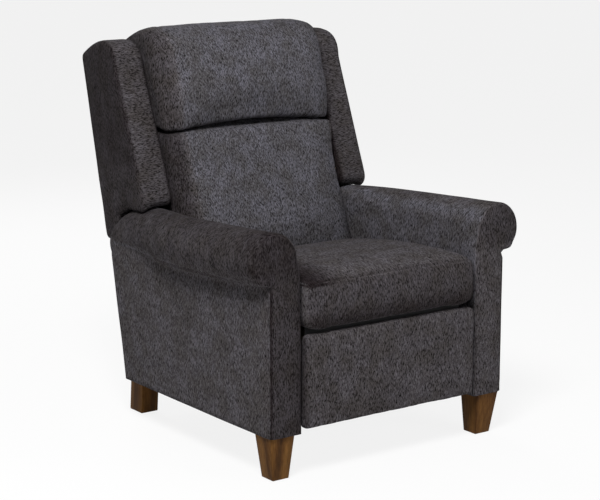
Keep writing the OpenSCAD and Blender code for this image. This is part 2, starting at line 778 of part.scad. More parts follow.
wing_profile = concat(
    [for (a = [0:30:90]) let (r = wing_corner_r, c = [wing_front(wing_bottom + r) + r, wing_bottom + r])
        c + r * [-sin(a), -cos(a)]],
    [for (k = [1:4]) let (z = wing_bottom + wing_corner_r + k * (wing_arc_low - wing_bottom - wing_corner_r) / 5)
        [wing_front(z), z]],
    [for (k = [0:10]) wing_top_arc(k / 10)],
    [for (k = [1:5]) let (z = back_top + k * (wing_bottom - back_top) / 6) [back_rear(z) - wing_rear_gap, z]],
    [[back_rear(wing_bottom) - wing_rear_gap, wing_bottom]],
    [for (k = [1:2]) [back_rear(wing_bottom) - wing_rear_gap - k * 60, wing_bottom]]);
wing_middle = [front_y + arm_depth_top + 16, wing_bottom + 0.556 * (back_top - wing_bottom)];
// The outer face runs in from the front edge to the width of the outside back
wing_taper = (wing_half - back_half) / (back_rear(back_shoulder) - wing_front(wing_bottom));
// The underside follows the top of the arm, and behind the arm the wing reaches down to the outside back's shoulder
under_gap = 7.5;
tail_gap = 8;
under_depths = [for (d = [tail_gap, -14, -33, -54, -94]) arm_depth_top + d];
function wing_under(y) = [front_y + y, roll_top(y / arm_depth_top) + under_gap];
// Behind this depth the profile's flat underside gives way to the one over the arm
wing_rear_edge = front_y + arm_depth_top - 104;
wing_outline = concat([for (p = wing_profile) if (p[1] > wing_bottom + 0.01 || p[0] < wing_rear_edge) p],
    [[back_rear(back_shoulder) - wing_rear_gap, back_shoulder], [front_y + arm_depth_top + tail_gap, back_shoulder]],
    [for (y = under_depths) wing_under(y)]);

function wing_inset(p, inset) = let (d = wing_middle - p) p + d * inset / norm(d);
function wing_ring(x, inset) = [for (p = wing_outline) let (q = wing_inset(p, inset)) [x, q[0], q[1]]];
wing_board_x = [wing_inner, wing_inner + 18];
wing_board_inset = 34;

// The board's outline ends in a slightly bowed edge above the wing's underside
board_bow = 6;

function board_foot(p) = 0.75 * (p[0] - wing_middle[0]) + 0.1 * (wing_bottom - p[1]);
function board_point(p, inset) = p[1] > wing_bottom + 0.01 ? wing_inset(p, inset)
    : [wing_middle[0] + board_foot(p), wing_bottom + inset + board_bow * (1 - pow((board_foot(p) + 33) / 125, 2))];
function board_outline(inset) = [for (p = wing_outline) board_point(p, inset)];
function board_ring(x, inset) = [for (q = board_outline(inset)) [x, q[0], q[1]]];

// The first two rings are the floor and the mouth of the pocket that the wing's board fills
module wing(side) {
    pocket = wing_board_inset - touch_gap;
    color(fabric) on_side(side) difference() {
        loft([board_ring(wing_board_x[1] + touch_gap, pocket), board_ring(wing_inner, pocket),
            wing_ring(wing_inner, 5), wing_ring(wing_inner + 3, 1.5), wing_ring(wing_inner + 9, 0),
            wing_ring(wing_half - 12, 0), wing_ring(wing_half - 4, 3), wing_ring(wing_half, 10)], true, true);
        translate([0, 0, back_shoulder - 1]) linear_extrude(back_top) polygon([[wing_half, wing_front(wing_bottom)],
            [wing_half - wing_taper * 500, wing_front(wing_bottom) + 500], [wing_half + 1, wing_front(wing_bottom) + 500]]);
    }
}

module wing_board(side) {
    color(pine) on_side(side) {
        x_plate(wing_board_x[0], wing_board_x[1]) polygon(board_outline(wing_board_inset));
        for (r = [[wing_bottom + 28, wing_bottom + 88], [back_top - 106, back_top - 46]]) x_plate(post_x[1], wing_board_x[0])
            polygon([for (c = [[0, 0], [1, 0], [1, 1], [0, 1]]) [post_front(r[c[1]]) + 5 + c[0] * 40, r[c[1]]]]);
    }
}

// Back cushions: a side view of points [y, z], swept across the chair with rounded and crowned ends

function spline_at(a, b, c, d, t) = (2 * b + (c - a) * t + (2 * a - 5 * b + 4 * c - d) * t * t
    + (3 * b - a - 3 * c + d) * t * t * t) / 2;
function closed_curve(p, steps) = let (n = len(p)) [for (i = [0:n - 1]) for (j = [0:steps - 1])
    spline_at(p[(i + n - 1) % n], p[i], p[(i + 1) % n], p[(i + 2) % n], j / steps)];

curve_steps = 3;
cushion_stations = [-1, -0.985, -0.95, -0.88, -0.7, -0.35, 0, 0.35, 0.7, 0.88, 0.95, 0.985, 1];
cushion_end_inset = 26;
cushion_off = web_t + touch_gap;

function cushion_ring(profile, u, half, bulge) = let (m = middle(profile),
    z = [for (p = profile) p[1]], z0 = min(z), z1 = max(z), inset = cushion_end_inset * (1 - sqrt(1 - pow(abs(u), 10))))
    [for (p = profile) let (d = [m[0], m[1]] - p, q = p + d * inset / norm(d),
        front = max(0, (m[0] - p[0]) / (m[0] - min([for (r = profile) r[0]]))))
        [u * half, q[0] - bulge * (1 - u * u) * sin(180 * (p[1] - z0) / (z1 - z0)) * smooth(front), q[1]]];

// Space behind the webbing, up to the top of the posts
module behind_webbing() {
    x_plate(-wing_inner, wing_inner) polygon([for (p = [[0, 300], [400, 300], [400, post_z[1] + 3], [0, post_z[1] + 3]])
        [post_front(p[1]) - cushion_off + p[0], p[1]]]);
}

module back_cushion(points, half, bulge, low, high) {
    profile = [for (p = closed_curve([for (p = points) [front_y + arm_depth_top + p[0], p[1]]], curve_steps)) [p[0], max(low, min(high, p[1]))]];
    difference() {
        loft([for (u = cushion_stations) cushion_ring([for (p = profile) [p[0], p[1], 0]], u, half, bulge)]);
        behind_webbing();
    }
}

// Depths here are behind the arms' rear shoulder
lumbar_points = [[-84, 424], [-184, 419], [-239, 424], [-264, 448], [-238, 534], [-205, 614], [-173, 690], [-150, 744],
    [-126, seam_height - 9], [-94, seam_height - 1], [-24, seam_height - 1], [56, seam_height - 1], [1, 610]];
head_h = back_top - seam_height;
head_points = [[-94, seam_height + 1], [-122, seam_height + 9], [-138, seam_height + 35],
    [-134, seam_height + 0.47 * head_h], [-110, seam_height + 0.78 * head_h], [-84, back_top + 24],
    [-42, back_top + 68], [13, back_top + 84], [86, back_top + 56], [138, back_top + 18], [152, back_top - 4],
    [116, seam_height + 0.415 * head_h], [56, seam_height + 1], [-24, seam_height + 1]];

module lumbar_cushion() {
    color(fabric) back_cushion(lumbar_points, back_cushion_half, 14, 0, seam_height - 1);
}

module head_cushion() {
    color(fabric) back_cushion(head_points, back_cushion_half - 4, 12, seam_height + 1, overall_height);
}

arm_roll("left");  // arm_roll_left
arm_roll("right");  // arm_roll_right
arm_panels("left");  // arm_panels_left
arm_panels("right");  // arm_panels_right
arm_facing("left");  // arm_facing_left
arm_facing("right");  // arm_facing_right
arm_frame("left");  // arm_frame_left
arm_frame("right");  // arm_frame_right
front_leg("left");  // front_leg_left
front_leg("right");  // front_leg_right
rear_leg("left");  // rear_leg_left
rear_leg("right");  // rear_leg_right
leg_hanger_bolts();
leg_glides();
rear_rail();
corner_blocks();
base_stretcher();
base_plate("left");  // base_plate_left
base_plate("right");  // base_plate_right
guide_studs();
guide_washers();
base_plate_screws();
dust_cover();
seat_plate("left");  // seat_plate_left
seat_plate("right");  // seat_plate_right
seat_side_rails();
seat_front_rail();
seat_rear_rail();
seat_springs();
seat_spring_clips();
seat_deck();
seat_rail_bolts();
seat_cushion();
rear_link("left");  // rear_link_left
rear_link("right");  // rear_link_right
footrest_torque_tube();
cross_link("left");  // cross_link_left
cross_link("right");  // cross_link_right
short_link("left");  // short_link_left
short_link("right");  // short_link_right
front_link("left");  // front_link_left
front_link("right");  // front_link_right
footrest_board();
footrest_screws();
footrest_pad();
back_post("left");  // back_post_left
back_post("right");  // back_post_right
back_rails();
back_webbing();
back_bracket("left");  // back_bracket_left
back_bracket("right");  // back_bracket_right
outside_back();
wing_board("left");  // wing_board_left
wing_board("right");  // wing_board_right
wing("left");  // wing_left
wing("right");  // wing_right
lumbar_cushion();
head_cushion();
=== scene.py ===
import json
import math

import bmesh
import bpy
import numpy as np
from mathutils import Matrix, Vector, noise


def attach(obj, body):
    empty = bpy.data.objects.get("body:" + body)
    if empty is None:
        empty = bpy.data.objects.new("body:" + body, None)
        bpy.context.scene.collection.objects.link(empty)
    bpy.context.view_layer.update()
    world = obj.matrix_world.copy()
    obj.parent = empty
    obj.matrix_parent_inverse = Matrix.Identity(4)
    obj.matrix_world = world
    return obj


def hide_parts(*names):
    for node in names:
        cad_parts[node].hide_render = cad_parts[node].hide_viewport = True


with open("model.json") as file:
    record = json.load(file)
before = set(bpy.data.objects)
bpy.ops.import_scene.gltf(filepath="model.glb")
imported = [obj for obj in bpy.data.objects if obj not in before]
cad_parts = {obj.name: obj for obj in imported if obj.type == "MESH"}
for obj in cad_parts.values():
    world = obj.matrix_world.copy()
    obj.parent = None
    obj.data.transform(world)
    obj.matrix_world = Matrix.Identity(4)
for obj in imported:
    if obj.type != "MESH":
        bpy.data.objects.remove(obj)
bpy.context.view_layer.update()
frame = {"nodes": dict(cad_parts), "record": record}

MM = 0.001
WHITE = (1, 1, 1, 1)
# Depth of the arms' front plane. The shapes below are drawn in millimetres from that plane, as the photograph
# was measured.
FRONT = -466.874
SIGNS = {"left": -1, "right": 1}


def point(x, y, z):
    return (x * MM, (y + FRONT) * MM, z * MM)


def to_mm(co):
    """The x, y and z of an array of points, in millimetres from the arms' front plane."""
    return co[:, 0] / MM, co[:, 1] / MM - FRONT, co[:, 2] / MM


def to_metres(x, y, z):
    """An array of points in metres, from what to_mm gives."""
    return np.stack([x * MM, (y + FRONT) * MM, z * MM], 1)


def smooth(t):
    """A soft step from 0 to 1."""
    t = np.clip(t, 0, 1)
    return t * t * (3 - 2 * t)


def new_object(name, data):
    made = bpy.data.objects.new(name, data)
    bpy.context.scene.collection.objects.link(made)
    return made


# Camera of the photograph

camera = new_object("camera", bpy.data.cameras.new("camera"))
camera.location = point(-2785.1, -3458.0, 1454.0)
camera.rotation_euler = (math.radians(90 - 11.68), 0, math.radians(-35.89))
camera.data.sensor_width = 36
camera.data.lens = 109.84
bpy.context.scene.camera = camera


# Material helpers

def new_material(name):
    material = bpy.data.materials.new(name)
    material.use_nodes = True
    tree = material.node_tree
    tree.nodes.clear()
    out = tree.nodes.new("ShaderNodeOutputMaterial")
    shader = tree.nodes.new("ShaderNodeBsdfPrincipled")
    tree.links.new(shader.outputs[0], out.inputs[0])
    return material, tree, shader


def feed(tree, socket, value):
    """Links a socket's input to another socket, or sets its value."""
    if isinstance(value, bpy.types.NodeSocket):
        tree.links.new(value, socket)
    else:
        socket.default_value = value


def add(tree, kind, inputs=None, **settings):
    node = tree.nodes.new("ShaderNode" + kind)
    for key, value in settings.items():
        setattr(node, key, value)
    for key, value in (inputs or {}).items():
        feed(tree, node.inputs[key], value)
    return node


def maths(tree, operation, *values):
    return add(tree, "Math", dict(enumerate(values)), operation=operation).outputs[0]


def ramp(tree, factor, stops):
    node = add(tree, "ValToRGB", {0: factor})
    ends = node.color_ramp.elements
    while len(ends) < len(stops):
        ends.new(0.5)
    for element, (at, colour) in zip(ends, stops):
        element.position = at
        element.color = (*colour, 1)
    return node.outputs[0]


def multiply(tree, a, b):
    node = add(tree, "Mix", data_type="RGBA", blend_type="MULTIPLY")
    for key, value in ((0, 1.0), (6, a), (7, b)):
        feed(tree, node.inputs[key], value)
    return node.outputs[2]


def clouds(tree, vector, scale, detail, roughness=0.5, distortion=0.0, dimensions="3D"):
    """The factor of a noise texture."""
    inputs = {"Vector": vector, "Scale": scale, "Detail": detail, "Roughness": roughness, "Distortion": distortion}
    return add(tree, "TexNoise", inputs, noise_dimensions=dimensions).outputs["Fac"]


def stretched(tree, vector, scale):
    return add(tree, "Mapping", {"Vector": vector, "Scale": scale}).outputs[0]


def own_space(tree):
    return add(tree, "TexCoord").outputs["Object"]


def emboss(tree, shader, height, strength, distance):
    bump = add(tree, "Bump", {"Height": height, "Strength": strength, "Distance": distance})
    tree.links.new(bump.outputs[0], shader.inputs["Normal"])


def roughen(tree, shader, factor, low, high):
    """Roughness along a factor: low and high are pairs of the factor and the roughness there."""
    stops = [(at, (value,) * 3) for at, value in (low, high)]
    tree.links.new(ramp(tree, factor, stops), shader.inputs["Roughness"])


def shaded(colour, share):
    return tuple(c * share for c in colour)


YARN_PITCH, SLUB_LENGTH = 0.0018, 0.0095
# What the fabric's colour is multiplied by along the layer of crushed nap and painted shade: upright nap in full light,
# a little crushed nap and painted shade, and fully crushed nap in the deepest painted shade
PILE_AND_SHADE_TONES = ((0.0, (1.0, 1.0, 1.0)), (0.25, (0.83, 0.785, 0.735)), (1.0, (0.185, 0.148, 0.138)))


def chenille(name, dark, middle, light):
    """Heathered chenille: fuzzy yarns along V of the layer named weave, each with its own light and dark slubs."""
    material, tree, shader = new_material(name)
    uv = add(tree, "UVMap", uv_map="weave").outputs[0]
    parts = add(tree, "SeparateXYZ", {0: uv})
    # The yarns side by side, each one wandering a little
    wander = maths(tree, "SUBTRACT", clouds(tree, uv, 45.0, 1.0), 0.5)
    u = maths(tree, "ADD", parts.outputs[0], maths(tree, "MULTIPLY", wander, 0.0012))
    across = maths(tree, "DIVIDE", u, YARN_PITCH)
    index = maths(tree, "FLOOR", across)
    share = maths(tree, "FRACT", across)
    own = add(tree, "TexWhiteNoise", {"W": index}, noise_dimensions="1D").outputs["Value"]
    along = maths(tree, "ADD", maths(tree, "DIVIDE", parts.outputs[1], SLUB_LENGTH), maths(tree, "MULTIPLY", own, 57.0))
    spot = add(tree, "CombineXYZ", {0: maths(tree, "MULTIPLY", index, 7.31), 1: along}).outputs[0]
    slubs = clouds(tree, spot, 1.0, 1.5, 0.6, dimensions="2D")
    fibre = clouds(tree, stretched(tree, uv, (700.0, 120.0, 1.0)), 1.0, 2.0, 0.7, dimensions="2D")
    crush = clouds(tree, stretched(tree, uv, (340.0, 34.0, 1.0)), 1.0, 3.0, 0.6, dimensions="2D")
    nap = clouds(tree, own_space(tree), 20.0, 2.5, 0.55)
    pile_and_shade = add(tree, "Attribute", attribute_name="pile_and_shade").outputs["Fac"]
    # Colour of the yarns, with painted shade in the gaps between them, streaks and patches, and the layer of crushed
    # nap and painted shade over it
    heather = maths(tree, "ADD", maths(tree, "MULTIPLY", slubs, 0.6), maths(tree, "MULTIPLY", fibre, 0.4))
    # The yarns darken towards their sides: painted shade in the gaps between the yarns.
    side = maths(tree, "ABSOLUTE", maths(tree, "SUBTRACT", maths(tree, "MULTIPLY", share, 2.0), 1.0))
    rise = maths(tree, "SUBTRACT", 1.0, maths(tree, "POWER", side, 2.5))
    colour = ramp(tree, heather, ((0.37, dark), (0.49, middle), (0.65, light)))
    for factor, stops in (
            (rise, ((0.0, (0.55, 0.55, 0.55)), (0.7, (1.0, 1.0, 1.0)))),
            (crush, ((0.36, (0.82, 0.815, 0.8)), (0.64, (1.15, 1.15, 1.17)))),
            (nap, ((0.36, (0.84, 0.825, 0.8)), (0.64, (1.11, 1.12, 1.18)))),
            (pile_and_shade, PILE_AND_SHADE_TONES)):
        colour = multiply(tree, colour, ramp(tree, factor, stops))
    tree.links.new(colour, shader.inputs["Base Color"])
    fuzz = maths(tree, "ADD", maths(tree, "MULTIPLY", slubs, 0.45), maths(tree, "MULTIPLY", fibre, 0.4))
    emboss(tree, shader, maths(tree, "ADD", maths(tree, "MULTIPLY", rise, 0.5), fuzz), 0.7, 0.0009)
    roughen(tree, shader, fibre, (0.2, 0.85), (0.8, 0.98))
    shader.inputs["Specular IOR Level"].default_value = 0.02
    shader.inputs["Sheen Weight"].default_value = 0.015
    shader.inputs["Sheen Roughness"].default_value = 0.45
    shader.inputs["Sheen Tint"].default_value = (0.72, 0.72, 0.8, 1)
    return material


GRAIN_SCALE = 30.0


def timber(name, dark, middle, light, axis, rough):
    """Straight grained wood: the grain runs along one axis of the object's own space, with pores and wider bands."""
    material, tree, shader = new_material(name)
    place = own_space(tree)
    wide, fine = [GRAIN_SCALE] * 3, [GRAIN_SCALE * 9] * 3
    wide[axis], fine[axis] = GRAIN_SCALE * 0.06, GRAIN_SCALE * 0.35
    grain = stretched(tree, place, wide)
    bend = clouds(tree, grain, 1.0, 3.0, distortion=0.6)
    bands = add(tree, "TexWave", {"Vector": grain, "Scale": 0.4, "Distortion": 6.0, "Detail": 2.0,
                                  "Detail Scale": 0.9}, bands_direction="DIAGONAL").outputs["Fac"]
    streak = clouds(tree, stretched(tree, place, fine), 1.0, 3.0, 0.7)
    knots = maths(tree, "ADD", maths(tree, "MULTIPLY", bend, 0.42), maths(tree, "MULTIPLY", streak, 0.42))
    tone = maths(tree, "ADD", maths(tree, "MULTIPLY", bands, 0.2), knots)
    colour = ramp(tree, tone, ((0.3, dark), (0.52, middle), (0.75, light)))
    tree.links.new(colour, shader.inputs["Base Color"])
    roughen(tree, shader, streak, (0.3, rough + 0.12), (0.7, rough))
    emboss(tree, shader, streak, 0.25, 0.0004)
    shader.inputs["Specular IOR Level"].default_value = 0.12
    return material


def metal(name, colour, rough):
    """Zinc plated steel with a fine brushed grain and dull spots."""
    material, tree, shader = new_material(name)
    place = own_space(tree)
    lines = clouds(tree, stretched(tree, place, (900.0, 60.0, 60.0)), 1.0, 3.0)
    spots = clouds(tree, place, 60.0, 4.0)
    tree.links.new(ramp(tree, spots, ((0.35, shaded(colour, 0.8)), (0.65, colour))), shader.inputs["Base Color"])
    roughen(tree, shader, lines, (0.3, rough), (0.7, rough + 0.18))
    emboss(tree, shader, lines, 0.1, 0.0002)
    shader.inputs["Metallic"].default_value = 1.0
    return material


def plastic(name, colour, rough):
    """Moulded plastic with a fine grain and worn patches."""
    material, tree, shader = new_material(name)
    place = own_space(tree)
    wear = clouds(tree, place, 80.0, 3.0)
    tree.links.new(ramp(tree, wear, ((0.3, shaded(colour, 0.85)), (0.7, colour))), shader.inputs["Base Color"])
    roughen(tree, shader, wear, (0.3, rough), (0.7, rough + 0.15))
    emboss(tree, shader, clouds(tree, place, 1500.0, 2.0), 0.2, 0.0002)
    return material


def felt(name, colour):
    """Black non-woven cloth with a dotted bond pattern and loose fibres."""
    material, tree, shader = new_material(name)
    place = own_space(tree)
    dots = add(tree, "TexVoronoi", {"Vector": place, "Scale": 420.0}).outputs["Distance"]
    fibres = clouds(tree, place, 700.0, 3.0, distortion=2.0)
    tones = ((0.3, shaded(colour, 0.6)), (0.7, shaded(colour, 1.7)))
    tree.links.new(ramp(tree, fibres, tones), shader.inputs["Base Color"])
    emboss(tree, shader, maths(tree, "ADD", dots, maths(tree, "MULTIPLY", fibres, 0.4)), 0.4, 0.0005)
    shader.inputs["Roughness"].default_value = 0.95
    shader.inputs["Sheen Weight"].default_value = 0.1
    return material


ALONG_X, ALONG_Y, UPRIGHT_GRAIN = 0, 1, 2
PINE = (0.36, 0.21, 0.09), (0.5, 0.33, 0.17), (0.62, 0.45, 0.26)
FABRIC = chenille("fabric", (0.0115, 0.01, 0.0096), (0.08, 0.077, 0.084), (0.145, 0.141, 0.158))
WALNUT = timber("walnut", (0.016, 0.006, 0.0012), (0.069, 0.028, 0.0055), (0.155, 0.071, 0.016), UPRIGHT_GRAIN, 0.6)
STAINED = timber("stained_pine", (0.01, 0.0075, 0.006), (0.018, 0.0135, 0.011), (0.03, 0.022, 0.018), ALONG_X, 0.7)
PINE_Y = timber("pine_along_depth", *PINE, ALONG_Y, 0.62)
PINE_X = timber("pine_along_width", *PINE, ALONG_X, 0.62)
PINE_Z = timber("pine_upright", *PINE, UPRIGHT_GRAIN, 0.62)
ZINC = metal("zinc_steel", (0.29, 0.295, 0.305), 0.38)
BLACK_PLASTIC = plastic("black_plastic", (0.018, 0.018, 0.019), 0.45)
WHITE_PLASTIC = plastic("white_plastic", (0.72, 0.7, 0.64), 0.4)
CLOTH = felt("black_cloth", (0.014, 0.014, 0.015))


# Mesh helpers

def mesh_object(name, verts, faces):
    mesh = bpy.data.meshes.new(name)
    mesh.from_pydata([tuple(v) for v in verts], [], faces)
    mesh.update()
    return new_object(name, mesh)


def upright(piece):
    """Turns all the faces outwards."""
    fixed = bmesh.new()
    fixed.from_mesh(piece.data)
    bmesh.ops.recalc_face_normals(fixed, faces=fixed.faces)
    fixed.to_mesh(piece.data)
    fixed.free()


def loft(name, first, last):
    """A solid between two outlines with the same number of points."""
    n = len(first)
    faces = [tuple(range(n)), tuple(range(2 * n - 1, n - 1, -1))]
    faces += [(j, n + j, n + (j + 1) % n, (j + 1) % n) for j in range(n)]
    piece = mesh_object(name, first + last, faces)
    upright(piece)
    return piece


def prism(name, outline, x0, x1):
    """A solid between two planes across X, whose outline is points [y, z]."""
    return loft(name, [point(x0, y, z) for y, z in outline], [point(x1, y, z) for y, z in outline])


def get_co(mesh):
    co = np.empty(len(mesh.vertices) * 3)
    mesh.vertices.foreach_get("co", co)
    return co.reshape(-1, 3)


def set_co(mesh, co):
    mesh.vertices.foreach_set("co", np.asarray(co, float).ravel())
    mesh.update()


def get_normals(mesh):
    n = np.empty(len(mesh.vertices) * 3, np.float32)
    mesh.vertex_normals.foreach_get("vector", n)
    return n.reshape(-1, 3).astype(float)


def modify(piece, kind, **settings):
    """Adds a modifier and leaves the piece with the mesh that it makes."""
    modifier = piece.modifiers.new("work", kind)
    for key, value in settings.items():
        setattr(modifier, key, value)
    graph = bpy.context.evaluated_depsgraph_get()
    mesh = bpy.data.meshes.new_from_object(piece.evaluated_get(graph))
    old = piece.data
    piece.modifiers.clear()
    piece.data = mesh
    bpy.data.meshes.remove(old)
    mesh.name = piece.name
    return piece


def bevel(piece, width, segments, angle=30.0):
    modify(piece, "BEVEL", width=width, segments=segments, limit_method="ANGLE", angle_limit=math.radians(angle))


def remesh(piece, voxel, relaxing):
    modify(piece, "REMESH", mode="VOXEL", voxel_size=voxel)
    relax(piece, relaxing)


def relax(piece, steps):
    """Moves each vertex half of the way to the mean of its neighbours."""
    if not steps:
        return
    mesh = piece.data
    co = get_co(mesh)
    edges = np.empty(len(mesh.edges) * 2, int)
    mesh.edges.foreach_get("vertices", edges)
    a, b = edges.reshape(-1, 2).T
    count = np.bincount(a, minlength=len(co)) + np.bincount(b, minlength=len(co))
    for _ in range(steps):
        total = np.zeros_like(co)
        for k in range(3):
            total[:, k] = np.bincount(a, co[b, k], len(co)) + np.bincount(b, co[a, k], len(co))
        co += 0.5 * (total / count[:, None] - co)
    set_co(mesh, co)


def noise_field(co, size, seed):
    """Smooth noise from about -1 to 1 with features of that size in metres."""
    shift = Vector((seed * 3.1, seed * 7.7, seed * 1.3))
    return np.array([noise.noise(Vector(p) / size + shift) for p in co])


def push_out(piece, rule):
    """Moves each vertex along its normal by the metres that rule gives for its place."""
    mesh = piece.data
    co = get_co(mesh)
    set_co(mesh, co + get_normals(mesh) * rule(co)[:, None])


def wrinkle(piece, size, height, seed):
    push_out(piece, lambda co: height * noise_field(co, size, seed))


def crumple(piece, size, depth, seed):
    """Short soft creases: the folds of a noise field, drawn inwards."""
    push_out(piece, lambda co: -depth * np.clip(1 - np.abs(noise_field(co, size, seed)) * 2.2, 0, 1) ** 3)


def groove(piece, distance, width, depth):
    """Draws the surface in along a seam: distance gives each point's distance from it."""
    push_out(piece, lambda co: -depth * np.exp(-(distance(co) / width) ** 2))


def soft_limit(values, limit, room):
    """Values past limit - room are pressed flat towards limit, as padding against a neighbour."""
    over = np.maximum(0, values - (limit - room))
    return np.where(values > limit - room, limit - room + room * (1 - np.exp(-over / room)), values)


def pressed(x, limit, room):
    """The same on both sides of the middle of the chair."""
    return np.sign(x) * soft_limit(np.abs(x), limit, room)


# The cloth pads: frames of the simulation, how far a point may move, and the share of the way that it then goes
CLOTH_STEPS, CLOTH_CAP, CLOTH_SHARE = 20, 0.022, 0.3


def puff(piece, shrink):
    """Remeshes a pad, draws it in, and blows it up as cloth under pressure."""
    remesh(piece, 0.006, 4)
    mesh = piece.data
    drawn = get_co(mesh)
    co = drawn - get_normals(mesh) * shrink
    set_co(mesh, co)
    cloth = piece.modifiers.new("puff", "CLOTH")
    settings = cloth.settings
    settings.quality = 5
    settings.mass = 0.35
    settings.tension_stiffness = settings.compression_stiffness = 14
    settings.shear_stiffness = 6
    settings.bending_stiffness = 1.2
    settings.use_pressure = True
    settings.uniform_pressure_force = 4.0
    settings.effector_weights.gravity = 0
    cloth.collision_settings.use_collision = False
    cloth.point_cache.frame_start, cloth.point_cache.frame_end = 1, CLOTH_STEPS
    scene = bpy.context.scene
    for f in range(1, CLOTH_STEPS + 1):
        scene.frame_set(f)
    graph = bpy.context.evaluated_depsgraph_get()
    moved = get_co(piece.evaluated_get(graph).data)
    piece.modifiers.clear()
    scene.frame_set(1)
    push = moved - co
    length = np.linalg.norm(push, axis=1, keepdims=True)
    push *= np.minimum(1, CLOTH_CAP / np.maximum(length, 1e-9))
    set_co(mesh, drawn + CLOTH_SHARE * (co + push - drawn))
    relax(piece, 1)
    modify(piece, "SUBSURF", levels=1, render_levels=1)


def lay_pile_and_shade(piece, rule):
    """Where the nap lies crushed and where shade is painted in: 0 for upright, unshaded pile to 1, kept as a layer for
    the fabric.
    """
    mesh = piece.data
    layer = mesh.attributes.new("pile_and_shade", "FLOAT", "POINT")
    values = rule(*to_mm(get_co(mesh)), get_normals(mesh))
    layer.data.foreach_set("value", np.clip(values, 0, 1).astype(np.float32))


def weave(piece, choose, maps):
    """Lays the weave layer on a piece: choose gives each face, by its normal, the number of the map that it takes."""
    mesh = piece.data
    layer = mesh.uv_layers.new(name="weave")
    count = len(mesh.polygons)
    normals = np.empty(count * 3, np.float32)
    mesh.polygons.foreach_get("normal", normals)
    totals = np.empty(count, int)
    mesh.polygons.foreach_get("loop_total", totals)
    corners = np.empty(len(mesh.loops), int)
    mesh.loops.foreach_get("vertex_index", corners)
    pick = np.repeat(choose(normals.reshape(-1, 3)), totals)
    co = get_co(mesh)[corners]
    uv = np.zeros((len(corners), 2))
    for k, rule in enumerate(maps):
        mask = pick == k
        if mask.any():
            uv[mask] = np.stack(rule(co[mask]), 1)
    layer.data.foreach_set("uv", uv.ravel())


def by_normal(normals):
    """0 where a face looks mostly along X, 1 along Y, 2 along Z."""
    return np.argmax(np.abs(normals), 1)


def by_seat_normal(normals):
    n = np.abs(normals)
    return np.where(n[:, 2] > 0.6, 2, np.where(n[:, 0] > n[:, 1], 0, 1))


def by_back_normal(normals):
    """0 at the sides, 1 in front, 2 on top, 3 behind."""
    behind = np.where(normals[:, 2] > 0.65, 2, 3)
    return np.where(np.abs(normals[:, 0]) > 0.7, 0, np.where(normals[:, 1] < -0.15, 1, behind))


def by_wing_normal(normals):
    return np.where(np.abs(normals[:, 0]) > 0.62, 0, np.where(normals[:, 1] < -0.35, 1, 2))


WING_SLOPE = 0.39
LEAN = math.atan(WING_SLOPE)
PLAIN_MAPS = (
    lambda p: (p[:, 1], p[:, 2]),
    lambda p: (p[:, 0], p[:, 2]),
    lambda p: (p[:, 0], p[:, 1]))
BACK_MAPS = (
    lambda p: (p[:, 1], p[:, 2]),
    lambda p: (p[:, 0], p[:, 2] * 1.12 + p[:, 1] * 0.5),
    lambda p: (p[:, 0], p[:, 1]),
    lambda p: (p[:, 0], p[:, 2] * 1.05))
WING_MAPS = (
    lambda p: (p[:, 1] * math.cos(LEAN) - p[:, 2] * math.sin(LEAN),
               p[:, 2] * math.cos(LEAN) + p[:, 1] * math.sin(LEAN)),
    lambda p: (p[:, 2] / math.cos(LEAN), p[:, 0]),
    lambda p: (p[:, 1], p[:, 0]))


def finish_piece(piece, body, *nodes, material=FABRIC, slot="upholstery_fabric", smooth_angle=None):
    mesh = piece.data
    mesh.materials.clear()
    mesh.materials.append(material)
    mesh.polygons.foreach_set("use_smooth", [True] * len(mesh.polygons))
    if smooth_angle is not None:
        mesh.set_sharp_from_angle(angle=math.radians(smooth_angle))
    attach(piece, body)
    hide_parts(*nodes)


# Outlines that neighbours share

ARM_IN, ARM_OUT, LEG_H = 276.5, 370.0, 113.5
ARM_TOP, ARM_DEPTH, ROLL_R = 619.0, 744.0, 69.0
# How far the roll stands out past the panel in front, and how much of that it loses towards the rear
FLARE, FLARE_LOSS = 53.0, 49.0
# Slope of the roll's top, and the drop at its rear end
ROLL_SLOPE, DROP, DROP_FROM, DROP_SPAN = 0.052, 34.0, 0.84, 0.16


def roll_top(y):
    t = y / ARM_DEPTH
    return ARM_TOP - ROLL_SLOPE * ARM_DEPTH * t - DROP * np.clip((t - DROP_FROM) / DROP_SPAN, 0, 2) ** 2


def roll_middle(y):
    """Distance of the roll's middle line from the middle of the chair."""
    return ARM_OUT + FLARE - FLARE_LOSS * smooth((y / ARM_DEPTH - 0.45) / 0.55) - ROLL_R


def crease_height(y):
    return 488 - 0.3 * ROLL_SLOPE * y


def arm_rear(z):
    return 686 + 58 * np.clip((z - LEG_H) / (445 - LEG_H), 0, 1) + 4 * smooth((z - 200) / 150)


def back_rear(z):
    return 750 + 0.239 * (z - LEG_H)


def wing_front(z):
    return 590 + WING_SLOPE * (z - 650)


# Arms: rings along the depth, and rows across the front and rear faces

INNER_POINTS, ARC_POINTS, OUTER_POINTS = 34, 64, 34
CREASE_AT = INNER_POINTS + ARC_POINTS - 1
REAR_ROUNDING = 6.0


def arm_outline(t):
    """Points [x, z] of the right arm's section from the inner lower corner over the roll to the outer lower corner."""
    cx, cz = roll_middle(t * ARM_DEPTH), roll_top(t * ARM_DEPTH) - ROLL_R
    crease = -math.acos(np.clip((ARM_OUT - cx) / ROLL_R, -1, 1))
    inner = [(ARM_IN, z) for z in np.linspace(LEG_H, cz - 40, INNER_POINTS)]
    arc = []
    for a in np.linspace(math.pi, crease, ARC_POINTS):
        x, z = cx + ROLL_R * math.cos(a), cz + ROLL_R * math.sin(a)
        if x < ARM_IN + 12:
            x = ARM_IN + 12 * math.exp((x - ARM_IN - 12) / 12)
        arc.append((x, z))
    outer = [(ARM_OUT, z) for z in np.linspace(arc[-1][1], LEG_H, OUTER_POINTS + 1)[1:]]
    return np.array(inner + arc + outer)


